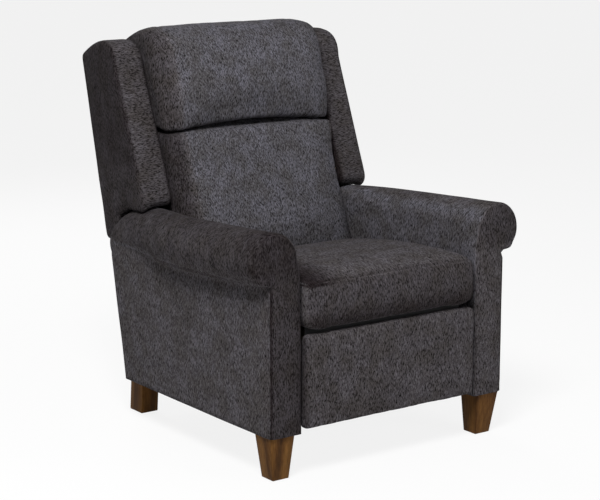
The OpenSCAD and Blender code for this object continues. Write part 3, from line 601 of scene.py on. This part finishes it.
def inward(points):
    """Unit normals of an outline, pointing to its inside."""
    ahead = np.roll(points, -1, 0) - np.roll(points, 1, 0)
    ahead[0] = points[1] - points[0]
    ahead[-1] = points[-1] - points[-2]
    ahead /= np.linalg.norm(ahead, axis=1, keepdims=True)
    return np.stack([ahead[:, 1], -ahead[:, 0]], 1)


def arm_rings():
    """The arm's sections from front to rear: each one's outline, and the depth of each of its points."""
    front, rear = arm_outline(0.0), arm_outline(1.0)
    k = np.arange(len(front))
    # Rounding of the front edge: wide round the roll, small down the panel
    rounding = np.where(k < INNER_POINTS, 9 + 7 * smooth((k - 20) / 14), np.where(k <= CREASE_AT, 16.0, 4.0))
    round_roll = (k > INNER_POINTS) & (k <= CREASE_AT)
    rounding = np.where(round_roll, 16 - 9 * np.exp(-np.abs(k - CREASE_AT) / 5.0), rounding)
    rounding[:3] = rounding[-3:] = 5
    rings = []
    for phi in np.radians([90, 72, 54, 36, 18]):
        inset = front + inward(front) * (rounding * (1 - math.cos(phi)))[:, None]
        rings.append((inset, rounding * (1 - math.sin(phi))))
    for t in np.linspace(0.05, 0.965, 76):
        outline = arm_outline(t)
        rings.append((outline, t * arm_rear(outline[:, 1])))
    for phi in np.radians([18, 36, 54, 72, 90]):
        inset = rear + inward(rear) * (REAR_ROUNDING * (1 - math.cos(phi)))
        rings.append((inset, arm_rear(inset[:, 1]) - REAR_ROUNDING * (1 - math.sin(phi))))
    return rings


def close_end(verts, faces, first, n, in_front):
    """Rows across an end face, which join opposite points of the ring that starts at vertex first."""
    columns, half = 14, n // 2
    rows = []
    for j in range(half):
        a, b = first + j, first + n - 1 - j
        row = [a]
        for c in range(1, columns):
            f = c / columns
            p = np.array(verts[a]) * (1 - f) + np.array(verts[b]) * f
            swell = 3.0 * math.sin(math.pi * f) ** 0.6 * min(1, j / 4, (half - j) / 6)
            p[1] += (-swell if in_front else swell * 0.6) * MM
            verts.append(p)
            row.append(len(verts) - 1)
        rows.append(row + [b])
    for r0, r1 in zip(rows, rows[1:]):
        for c in range(columns):
            quad = (r0[c], r0[c + 1], r1[c + 1], r1[c])
            faces.append(quad[::-1] if in_front else quad)


def arm(side):
    sign = SIGNS[side]
    rings = arm_rings()
    m, n = len(rings), len(rings[0][0])
    verts, ring_uv = [], []
    for outline, depths in rings:
        s = np.concatenate([[0], np.cumsum(np.linalg.norm(np.diff(outline, axis=0), axis=1))])
        verts += [point(sign * x, y, z) for (x, z), y in zip(outline, depths)]
        ring_uv += [(y * MM, along * MM) for y, along in zip(depths, s - s[CREASE_AT])]
    faces = [(i * n + j, i * n + (j + 1) % n, (i + 1) * n + (j + 1) % n, (i + 1) * n + j)
             for i in range(m - 1) for j in range(n)]
    close_end(verts, faces, 0, n, True)
    close_end(verts, faces, (m - 1) * n, n, False)
    piece = mesh_object("arm_upholstery_" + side, verts, faces)
    upright(piece)
    push_out(piece, lambda co: arm_fullness(co, *to_mm(co * np.array([sign, 1, 1]))) * MM)
    # The yarns run round the arm on its long sides, and upright on its two ends
    mesh = piece.data
    layer = mesh.uv_layers.new(name="weave")
    co = get_co(mesh)
    for face in mesh.polygons:
        flat = abs(face.normal[1]) > 0.8 or max(face.vertices) >= len(ring_uv)
        for corner in face.loop_indices:
            v = mesh.loops[corner].vertex_index
            layer.data[corner].uv = (co[v, 0] + 0.4, co[v, 2]) if flat else ring_uv[v]
    lay_pile_and_shade(piece, lambda x, y, z, n: arm_pile_and_shade(sign, sign * x, y, z, n))
    finish_piece(piece, "base", "arm_roll_" + side, "arm_panels_" + side, "arm_facing_" + side)


def arm_fullness(co, x, y, z):
    """Millimetres to push out: a full panel, the tucked crease under the roll, its puckers, and slack."""
    fade = 1 - smooth((np.clip(y / ARM_DEPTH, 0, 1) - 0.35) / 0.4)
    crease_z = crease_height(y)
    outer = smooth((x - 352) / 14)
    crease = np.exp(-((z - crease_z) / 6) ** 2) * outer * fade
    # The seam down the corner between the front facing and the side panel
    corner = np.exp(-((x - 366) / 4.0) ** 2 - ((y - 3) / 6.0) ** 2) * smooth((crease_z - 2 - z) / 14)
    panel = outer * smooth((z - 125) / 60) * (1 - smooth((z - 420) / 60)) * smooth(y / 60) * smooth((690 - y) / 60)
    tuck = np.exp(-((z - 503) / 30) ** 2) * outer * np.exp(-y / 110) * smooth(y / 10)
    lip = np.exp(-((z - crease_z - 11) / 9) ** 2) * outer * fade
    roll = smooth((z - 470) / 40)
    slack = noise_field(co * np.array([1, 0.55, 1]), 0.075, 3.0)
    return (-8 * crease - 2.6 * corner + 2.2 * panel + 2.4 * tuck * np.sin(y / 5.5 + 0.07 * z) + 2.6 * lip
            + roll * 1.5 * slack + (1 - roll) * 0.8 * noise_field(co, 0.12, 5.0))


def arm_pile_and_shade(sign, x, y, z, n):
    """Painted shade under the roll, on the panel below it and on the inner face, darker down the corner seam, and
    crushed nap with painted shade over the roll in slanting bands and on the front facing.
    """
    crease_z = crease_height(y) + 1
    outer = smooth((x - 362) / 6) * (z < crease_z)
    fade = 1 - smooth((y - 480) / 200)
    under = smooth((x - 358) / 12) * np.exp(-((z - crease_z) / 11) ** 2) * fade
    below = outer * np.exp(-np.maximum(0, crease_z - z) / 32) * fade
    seam = np.exp(-((x - 367) / 4.0) ** 2) * smooth((14 - y) / 6) * smooth((486 - z) / 20)
    roll = smooth((z - crease_z - 4) / 14) * smooth((x - 300) / 30)
    slant = np.stack([x * 0.35 + 0.3 * y, y - 0.7 * z, 0.3 * z], 1) * MM
    bands = noise_field(slant, 0.018, 61.0)
    facing = smooth((-n[:, 1] - 0.5) / 0.3)
    # The left arm's roll and front facing get more painted shade than the right arm's.
    if sign < 0:
        dark_front = 0.71 + 0.13 * smooth((z - 495) / 25)
        dark_roll = 0.62 + 0.2 * np.exp(-y / 70)
    else:
        dark_front = 0.36 + 0.28 * smooth((z - 500) / 20)
        dark_roll = 0.28
    # Less painted shade on the roll's lower side, just above the crease.
    dark_roll = dark_roll * (1 - 0.25 * np.exp(-((z - crease_z - 16) / 14) ** 2))
    return (0.25 * under + 0.08 * below + 0.3 * seam + roll * (1 - facing) * (dark_roll + 0.2 * bands)
            + dark_front * facing + 0.2 * outer * (1 - facing) + 0.06 * bands + 0.1 * smooth((300 - x) / 12))


def arm_end(side):
    """The inner half of the arm, which runs on to the outside back."""
    sign = SIGNS[side]
    zs = np.linspace(LEG_H, 390, 12)
    outline = [(arm_rear(z) - 24, z) for z in zs] + [(back_rear(z) - 16, z) for z in zs[::-1]]
    piece = prism("arm_end_" + side, outline, sign * ARM_IN, sign * 333)
    bevel(piece, 0.009, 4, 50)
    remesh(piece, 0.005, 3)
    wrinkle(piece, 0.1, 0.001, 51.0 + sign)
    weave(piece, by_normal, PLAIN_MAPS)
    finish_piece(piece, "base", "arm_panels_" + side)


# Wings

def wing_outline():
    """Points [y, z] of the wing: rounded lower corner, arched top, tail behind the arm, and over the arm's roll."""
    a, b = np.array((wing_front(942), 942)), np.array((wing_front(942) + 8, 1032))
    c, d = np.array((800, 1040)), np.array((back_rear(966) - 3, 966))
    corner = [(wing_front(614) + 22 - 22 * math.sin(q), 614 - 22 * math.cos(q)) for q in np.linspace(0, math.pi / 2, 8)]
    arch = [tuple((1 - t) ** 3 * a + 3 * (1 - t) ** 2 * t * b + 3 * (1 - t) * t * t * c + t ** 3 * d)
            for t in np.linspace(0, 1, 28)]
    tail = [(back_rear(470) - 3, 471), (752, 471)]
    under = [(y, roll_top(y) + 5.5 + 5 * smooth((y - 655) / 35))
             for y in (752, 741, 730, 720, 711, 700, 690, 670, 650, 625)]
    return corner + arch + tail + under


def wing(side):
    sign = SIGNS[side]
    piece = prism("wing_upholstery_" + side, wing_outline(), sign * 275, sign * 370)
    bevel(piece, 0.013, 5, 40)
    remesh(piece, 0.005, 5)
    mesh = piece.data
    x, y, z = to_mm(get_co(mesh))
    x = sign * x
    # The outer face runs in to the width of the outside back, and the inner half stops in front of that panel
    deep = np.clip((y - wing_front(z)) / (back_rear(z) - wing_front(z)), 0, 1)
    x -= 34 * deep * np.clip((x - 275) / 95, 0, 1)
    y = np.minimum(y, back_rear(z) - 19 + 17 * smooth((x - 309) / 7))
    # Over the arm the outer part of the underside follows the roll down
    sag = ROLL_R - np.sqrt(np.maximum(ROLL_R ** 2 - np.maximum(0, x - roll_middle(y)) ** 2, 0))
    low = np.exp(-np.maximum(0, z - roll_top(y) - 7) / 13) * smooth((758 - y) / 8)
    z -= np.minimum(sag, 14 + 5 * smooth((665 - y) / 30)) * low
    set_co(mesh, to_metres(sign * x, y, z))
    full = (smooth((z - 600) / 60) * smooth((1000 - z) / 60) * smooth((y - wing_front(z)) / 60)
            * smooth((back_rear(z) - 18 - y) / 60))
    across = np.abs(get_normals(mesh)[:, 0])
    push_out(piece, lambda co: (3.0 * full * across + 1.2 * noise_field(co, 0.09, 9.0 + sign)) * MM)
    weave(piece, by_wing_normal, WING_MAPS)
    lay_pile_and_shade(piece, lambda x, y, z, n: wing_pile_and_shade(sign * x, y, z, n * np.array([sign, 1, 1])))
    finish_piece(piece, "back", "wing_" + side)


def wing_pile_and_shade(x, y, z, n):
    """Crushed nap and painted shade down the wings: dark on the outer face, and darkest, with painted shade from the
    back cushions, on the inner face and along its edge.
    """
    patches = noise_field(np.stack([x, y, z * 0.6], 1) * MM, 0.045, 71.0)
    outer = smooth((n[:, 0] - 0.3) / 0.4)
    inner = smooth((-n[:, 0] - 0.2) / 0.4)
    front = smooth((-n[:, 1] - 0.3) / 0.4) * (1 - outer) * (1 - inner)
    ribs = np.sin((z + 0.15 * x) / 2.4 + 1.5 * patches)
    edge = np.exp(-np.maximum(0, x - 275) / 14)
    return (outer * (0.84 - 0.12 * smooth((730 - z) / 70) + 0.1 * patches) + inner
            + front * (0.44 + 0.44 * edge + 0.07 * ribs + 0.1 * patches) + 0.5 * (1 - outer - inner - front))


# Cushions

def box_mesh(name, low, high, radius, segments):
    """A box between two corners in millimetres, with rounded edges."""
    a, b = point(*low), point(*high)
    corners = [(x, y, z) for x in (a[0], b[0]) for y in (a[1], b[1]) for z in (a[2], b[2])]
    faces = [(0, 1, 3, 2), (4, 6, 7, 5), (0, 4, 5, 1), (2, 3, 7, 6), (0, 2, 6, 4), (1, 5, 7, 3)]
    piece = mesh_object(name, corners, faces)
    bevel(piece, radius * MM, segments)
    return piece


SEAT_HALF, SEAT_FLOOR, SEAT_LEVEL, SEAT_REAR = 270, 364, 500, 473
# Height of the seat cushion's top along its middle, as pairs of depth and height
SEAT_TOP = np.array([(-24, 480), (-14, 489), (10, 495), (50, 500.5), (110, 503), (180, 501.5), (263, 496),
                     (335, 487), (414, 475), (474, 465)])


def seat_pile_and_shade(x, y, z, n):
    """Darker all over, with painted shade down the front border and most low on it, the painted shadow of the left arm
    over the left part of the top, and painted shade along the right edge by the right arm.
    """
    front = smooth((-n[:, 1] - 0.3) / 0.5) * (0.31 + 0.32 * smooth((430 - z) / 60))
    left = smooth((-130 - x) / 115) * smooth((n[:, 2] - 0.45) / 0.3)
    return 0.24 + front + 0.75 * left + 0.2 * smooth((x - 245) / 20)


def border_seam(p):
    """Distance from the sewn seam between the top panel and the front border."""
    x, y, z = to_mm(p)
    return np.where((y < 40) & (z > 440), np.abs(z - 484.5 + 4 * (x / SEAT_HALF) ** 2), 99) * MM


def seat_cushion():
    piece = box_mesh("seat_pad_upholstery", (-SEAT_HALF, -17, SEAT_FLOOR), (SEAT_HALF, SEAT_REAR, SEAT_LEVEL), 22, 6)
    remesh(piece, 0.006, 0)
    x, y, z = to_mm(get_co(piece.data))
    up = np.clip((z - SEAT_FLOOR) / (SEAT_LEVEL - SEAT_FLOOR), 0, 1)
    top = np.interp(y, SEAT_TOP[:, 0], SEAT_TOP[:, 1]) - 8 * np.abs(x / SEAT_HALF) ** 3
    z = z + up ** 1.3 * (top - SEAT_LEVEL)
    y = y - 5 * np.sin(np.pi * up) * smooth((60 - y) / 70) * (1 - (x / SEAT_HALF) ** 4)
    x = x * (1 - 0.008 * np.sin(np.pi * np.clip(y / SEAT_REAR, 0, 1)))
    # The lower edge of the front border rises to its two corners
    z = z + 13 * (1 - up) ** 3 * np.clip((np.abs(x) - 215) / 55, 0, 1) ** 2 * smooth((60 - y) / 60)
    set_co(piece.data, to_metres(x, y, z))
    puff(piece, 0.004)
    x, y, z = to_mm(get_co(piece.data))
    z = np.maximum(z, 363.0 + 10.4 * smooth((y - 16) / 12))
    y = soft_limit(np.maximum(y, -27), 478, 6)
    set_co(piece.data, to_metres(pressed(x, 275.0, 5), y, z))
    groove(piece, border_seam, 0.0022, 0.0016)
    wrinkle(piece, 0.1, 0.0014, 21.0)
    crumple(piece, 0.045, 0.0009, 23.0)
    lay_pile_and_shade(piece, seat_pile_and_shade)
    weave(piece, by_seat_normal, PLAIN_MAPS)
    finish_piece(piece, "seat", "seat_cushion")


def closed_curve(points, steps):
    """A smooth closed curve through points."""
    p = np.array(points, float)
    a, b, c, d = np.roll(p, 1, 0), p, np.roll(p, -1, 0), np.roll(p, -2, 0)
    rows = []
    for k in range(len(p)):
        for t in np.arange(steps) / steps:
            rows.append((2 * b[k] + (c[k] - a[k]) * t + (2 * a[k] - 5 * b[k] + 4 * c[k] - d[k]) * t * t
                         + (3 * b[k] - a[k] - 3 * c[k] + d[k]) * t ** 3) / 2)
    return np.array(rows)


SEAM, CUSHION_ROUNDING = 785.0, 17.0
# Side views of the two back cushions, as pairs of depth and height
LUMBAR = ((660, 424), (560, 419), (505, 424), (480, 446), (487, 478), (506, 534), (539, 614), (570, 690), (590, 748),
          (599, 773), (607, 783), (640, 784), (720, 784), (800, 784), (745, 610))
HEAD = ((640, 786), (607, 787), (599, 794), (597, 814), (601, 870), (617, 926), (634, 974), (654, 1014), (690, 1042),
        (757, 1050), (830, 1024), (882, 984), (896, 962), (860, 860), (800, 786), (720, 786))


def seam_bow(x, half):
    """The seam between the two back cushions is bowed upwards."""
    return 8 - 18 * (x / half) ** 2


def cushion_sections(profile, half, bulge, limits):
    """The vertices of a boxed cushion: its side view swept across the chair, with tight corners and a crowned face."""
    radius = CUSHION_ROUNDING
    middle = (profile.min(0) + profile.max(0)) / 2
    turn = np.sin(np.radians(np.linspace(0, 90, 7)))
    xs = np.concatenate([-(half - radius + radius * turn)[::-1], np.linspace(-half + radius, half - radius, 58)[1:-1],
                         half - radius + radius * turn])
    inward_way = middle - profile
    inward_way /= np.linalg.norm(inward_way, axis=1, keepdims=True)
    share = np.clip((profile[:, 1] - limits[0]) / (limits[1] - limits[0]), 0, 1)
    facing = smooth((middle[0] - profile[:, 0]) / (middle[0] - profile[:, 0].min()))
    verts = []
    for x in xs:
        over = max(0.0, (abs(x) - half + radius) / radius)
        ring = profile + inward_way * radius * (1 - math.sqrt(max(0.0, 1 - over * over)))
        # The crown falls away towards the wings
        fall = min(1.0, max(0.0, (abs(x) - half + 66) / 66))
        ring[:, 0] += 44 * (1 - math.sqrt(1 - fall * fall)) * facing
        ring[:, 0] -= bulge * (1 - (x / half) ** 2) * np.sin(np.pi * share) * facing
        ring[:, 1] += seam_bow(x, half) * np.exp(-np.abs(ring[:, 1] - SEAM) / 45) * facing
        verts += [point(x, y, z) for y, z in ring]
    return verts, len(xs)


def back_cushion(node, name, points, half, bulge, limits, seed):
    is_lumbar = node == "lumbar_cushion"
    profile = closed_curve(points, 4)
    profile[:, 1] = np.clip(profile[:, 1], *limits)
    verts, m = cushion_sections(profile, half, bulge, limits)
    n = len(profile)
    faces = [tuple(range(n))[::-1], tuple((m - 1) * n + k for k in range(n))]
    faces += [(i * n + k, i * n + (k + 1) % n, (i + 1) * n + (k + 1) % n, (i + 1) * n + k)
              for i in range(m - 1) for k in range(n)]
    piece = mesh_object(name, verts, faces)
    upright(piece)
    puff(piece, 0.003)
    mesh = piece.data
    x, y, z = to_mm(get_co(mesh))
    x = pressed(x, half + 4 - max(0, half - 268) * smooth((y - wing_front(z) + 16) / 14), 5)
    bow = seam_bow(x, half) * smooth((700 - y) / 60)
    if is_lumbar:
        z = np.maximum(soft_limit(z - bow, SEAM - 0.5, 3) + bow, 417)
    else:
        z = np.maximum(z - bow, SEAM + 0.5) + bow
        z = z - 8 * smooth((np.abs(x) - 210) / 62) * smooth((z - 955) / 60)
    # The rear face rests on the webbing
    web = 640 + 0.33 * (z - 330) - 2.3
    deep = (profile[:, 0].min() + profile[:, 0].max()) / 2 - 40
    y = np.where((z < 955) & (y > deep), np.minimum(y, web), y)
    set_co(mesh, to_metres(x, y, z))
    front_side = get_normals(mesh)[:, 1] < -0.2

    def side_seam(p):
        """Distance from the seams where the front panel meets the boxing at each side."""
        return np.where(front_side, np.abs(np.abs(p[:, 0]) / MM - half + 13), 99) * MM

    groove(piece, side_seam, 0.0024, 0.0014)
    wrinkle(piece, 0.11, 0.0024, seed)
    crumple(piece, 0.07, 0.0012, seed + 3)
    # Painted shade along the left side by the left wing, along the right edge by the right wing, and at the seam
    # between the two cushions.
    left_side_shade = 0.74 if is_lumbar else 0.56
    lay_pile_and_shade(piece, lambda x, y, z, n: left_side_shade * smooth((-x - half + 60) / 40) + 0.3 * smooth((x - half + 22) / 16)
             + 0.05 * np.exp(-np.abs(z - SEAM) / 9) * (n[:, 1] < 0))
    weave(piece, by_back_normal, BACK_MAPS)
    finish_piece(piece, "back", node)


# Footrest, outside back, rear rail and legs

def footrest_outline(low, high, half):
    """Points [x, z]: wide corners above, tight ones below."""
    outline = []
    for right, up, start in ((1, 1, 0), (-1, 1, 90), (-1, 0, 180), (1, 0, 270)):
        r = 20.0 if up else 8.0
        cx, cz = right * (half - r), high - r if up else low + r
        outline += [(cx + r * math.cos(q), cz + r * math.sin(q)) for q in np.radians(np.linspace(start, start + 90, 8))]
    return outline


def footrest_pad():
    """The panel's cover: full in front and turned over the edges of the board."""
    outline = footrest_outline(124.0, 358.0, 270.0)
    piece = loft("footrest_upholstery", [point(x, -8, z) for x, z in outline], [point(x, 21, z) for x, z in outline])
    bevel(piece, 0.008, 5, 60)
    remesh(piece, 0.0045, 2)
    x, y, z = to_mm(get_co(piece.data))
    belly = np.clip(1 - np.abs(x / 270) ** 6, 0, 1) * np.clip(1 - np.abs((z - 241) / 117) ** 4, 0, 1)
    set_co(piece.data, to_metres(x, np.where(y < 0, y - 4 * belly, y), z))
    wrinkle(piece, 0.1, 0.0012, 31.0)
    crumple(piece, 0.05, 0.0007, 33.0)
    # Darker all over with random patches, and painted shade along the side edges that turn over the board.
    lay_pile_and_shade(piece, lambda x, y, z, n: 0.38 + 0.12 * noise_field(np.stack([x, y, z * 0.5], 1) * MM, 0.035, 81.0)
             + 0.3 * smooth((np.abs(x) - 258) / 10))
    weave(piece, by_normal, PLAIN_MAPS)
    finish_piece(piece, "footrest", "footrest_pad")


def outside_back():
    """A flat panel with a turned hem, set between the covers of the two wings."""
    half, skirt = 309, 268
    outline = [(-skirt, 186), (skirt, 186), (skirt, 470), (half, 470), (half, 966), (-half, 966), (-half, 470),
               (-skirt, 470)]
    piece = loft("outside_back_cover", [point(x, back_rear(z) - 17, z) for x, z in outline],
                 [point(x, back_rear(z), z) for x, z in outline])
    bevel(piece, 0.005, 3)
    remesh(piece, 0.0045, 2)
    wrinkle(piece, 0.16, 0.0012, 41.0)
    crumple(piece, 0.09, 0.0008, 43.0)
    weave(piece, by_normal, PLAIN_MAPS)
    finish_piece(piece, "back", "outside_back")


def rear_rail():
    piece = box_mesh("rear_rail_cover", (-ARM_IN, 697, LEG_H), (ARM_IN, 733, 155), 5, 4)
    remesh(piece, 0.004, 3)
    weave(piece, by_normal, PLAIN_MAPS)
    finish_piece(piece, "base", "rear_rail")


# Middle and widths of each leg's top and foot
LEGS = {"front": ((330.0, 40.0, 70.0, 70.0), (326.0, 44.0, 48.0, 48.0)),
        "rear": ((286.5, 719.0, 52.0, 62.0), (286.5, 729.0, 52.0, 62.0))}


def leg(side, end):
    top, foot = [[point(SIGNS[side] * (cx + dx * wx / 2), cy + dy * wy / 2, z)
                  for dx, dy in ((-1, -1), (1, -1), (1, 1), (-1, 1))]
                 for (cx, cy, wx, wy), z in zip(LEGS[end], (LEG_H, 1.0))]
    piece = loft(end + "_leg_wood_" + side, foot, top)
    bevel(piece, 0.0022, 3)
    finish_piece(piece, "base", end + "_leg_" + side, material=WALNUT, slot="walnut", smooth_angle=35)


for side in SIGNS:
    arm(side)
    arm_end(side)
    wing(side)
    leg(side, "front")
    leg(side, "rear")
seat_cushion()
back_cushion("lumbar_cushion", "lumbar_upholstery", LUMBAR, 268.0, 14.0, (419, SEAM - 0.5), 11.0)
back_cushion("head_cushion", "head_upholstery", HEAD, 273.0, 9.0, (SEAM + 0.5, 1049), 17.0)
footrest_pad()
outside_back()
rear_rail()

# Materials of the CAD nodes that stay

FINISHES = {
    "frame_wood": PINE_Y, "walnut": WALNUT, "zinc_steel": ZINC, "black_plastic": BLACK_PLASTIC,
    "white_plastic": WHITE_PLASTIC, "black_cloth": CLOTH, "upholstery_fabric": FABRIC}
GRAIN = {"seat_rear_rail": PINE_X, "wing_board_left": PINE_Z, "wing_board_right": PINE_Z}
GRAIN |= dict.fromkeys(("seat_front_rail", "seat_side_rails", "base_stretcher", "back_rails", "footrest_board",
                        "back_post_left", "back_post_right"), STAINED)
for entry in frame["record"]["subparts"]:
    mesh = frame["nodes"][entry["node"]].data
    mesh.materials.clear()
    mesh.materials.append(GRAIN.get(entry["node"], FINISHES[entry["material_slot"]]))


# Floor, light and world

def seen_directly(tree):
    """1 for the rays that show the background: from the camera, from gloss and through glass."""
    path = add(tree, "LightPath")
    direct = maths(tree, "MAXIMUM", path.outputs["Is Camera Ray"], path.outputs["Is Glossy Ray"])
    return maths(tree, "MAXIMUM", direct, path.outputs["Is Transmission Ray"])


def pale_floor():
    floor = mesh_object("floor", [(-30, -30, 0), (30, -30, 0), (30, 30, 0), (-30, 30, 0)], [(0, 1, 2, 3)])
    material, tree, shader = new_material("floor")
    out = next(n for n in tree.nodes if n.type == "OUTPUT_MATERIAL")
    shader.inputs["Base Color"].default_value = (0.82, 0.82, 0.82, 1)
    shader.inputs["Roughness"].default_value = 0.9
    shader.inputs["Specular IOR Level"].default_value = 0.0
    # The share that isn't plain white keeps the chair's shadow
    share = maths(tree, "MULTIPLY", seen_directly(tree), 0.86)
    white = add(tree, "Emission", {"Color": WHITE, "Strength": 1.0})
    blend = add(tree, "MixShader", {0: share, 1: shader.outputs[0], 2: white.outputs[0]})
    tree.links.new(blend.outputs[0], out.inputs[0])
    floor.data.materials.append(material)


def white_world():
    world = bpy.data.worlds.new("world")
    bpy.context.scene.world = world
    world.use_nodes = True
    tree = world.node_tree
    tree.nodes.clear()
    out = tree.nodes.new("ShaderNodeOutputWorld")
    dim = add(tree, "Background", {"Color": WHITE, "Strength": 0.17})
    white = add(tree, "Background", {"Color": WHITE, "Strength": 1.0})
    blend = add(tree, "MixShader", {0: seen_directly(tree), 1: dim.outputs[0], 2: white.outputs[0]})
    tree.links.new(blend.outputs[0], out.inputs[0])


def lamp(name, place, aim, size, power):
    light = bpy.data.lights.new(name, "AREA")
    light.shape = "SQUARE"
    light.size = size
    light.energy = power
    holder = new_object(name, light)
    holder.location = place
    holder.rotation_euler = (Vector(aim) - Vector(place)).to_track_quat("-Z", "Y").to_euler()


pale_floor()
white_world()
lamp("key_light", (-2.0, -2.0, 3.7), (0, 0, 0.6), 1.3, 195)
lamp("low_fill", (1.6, -3.2, 1.0), (0, 0, 0.4), 1.4, 26)
lamp("rear_light", (0.5, 3.0, 2.4), (0, 0, 0.6), 2.0, 45)
bpy.context.scene.view_settings.view_transform = "Standard"
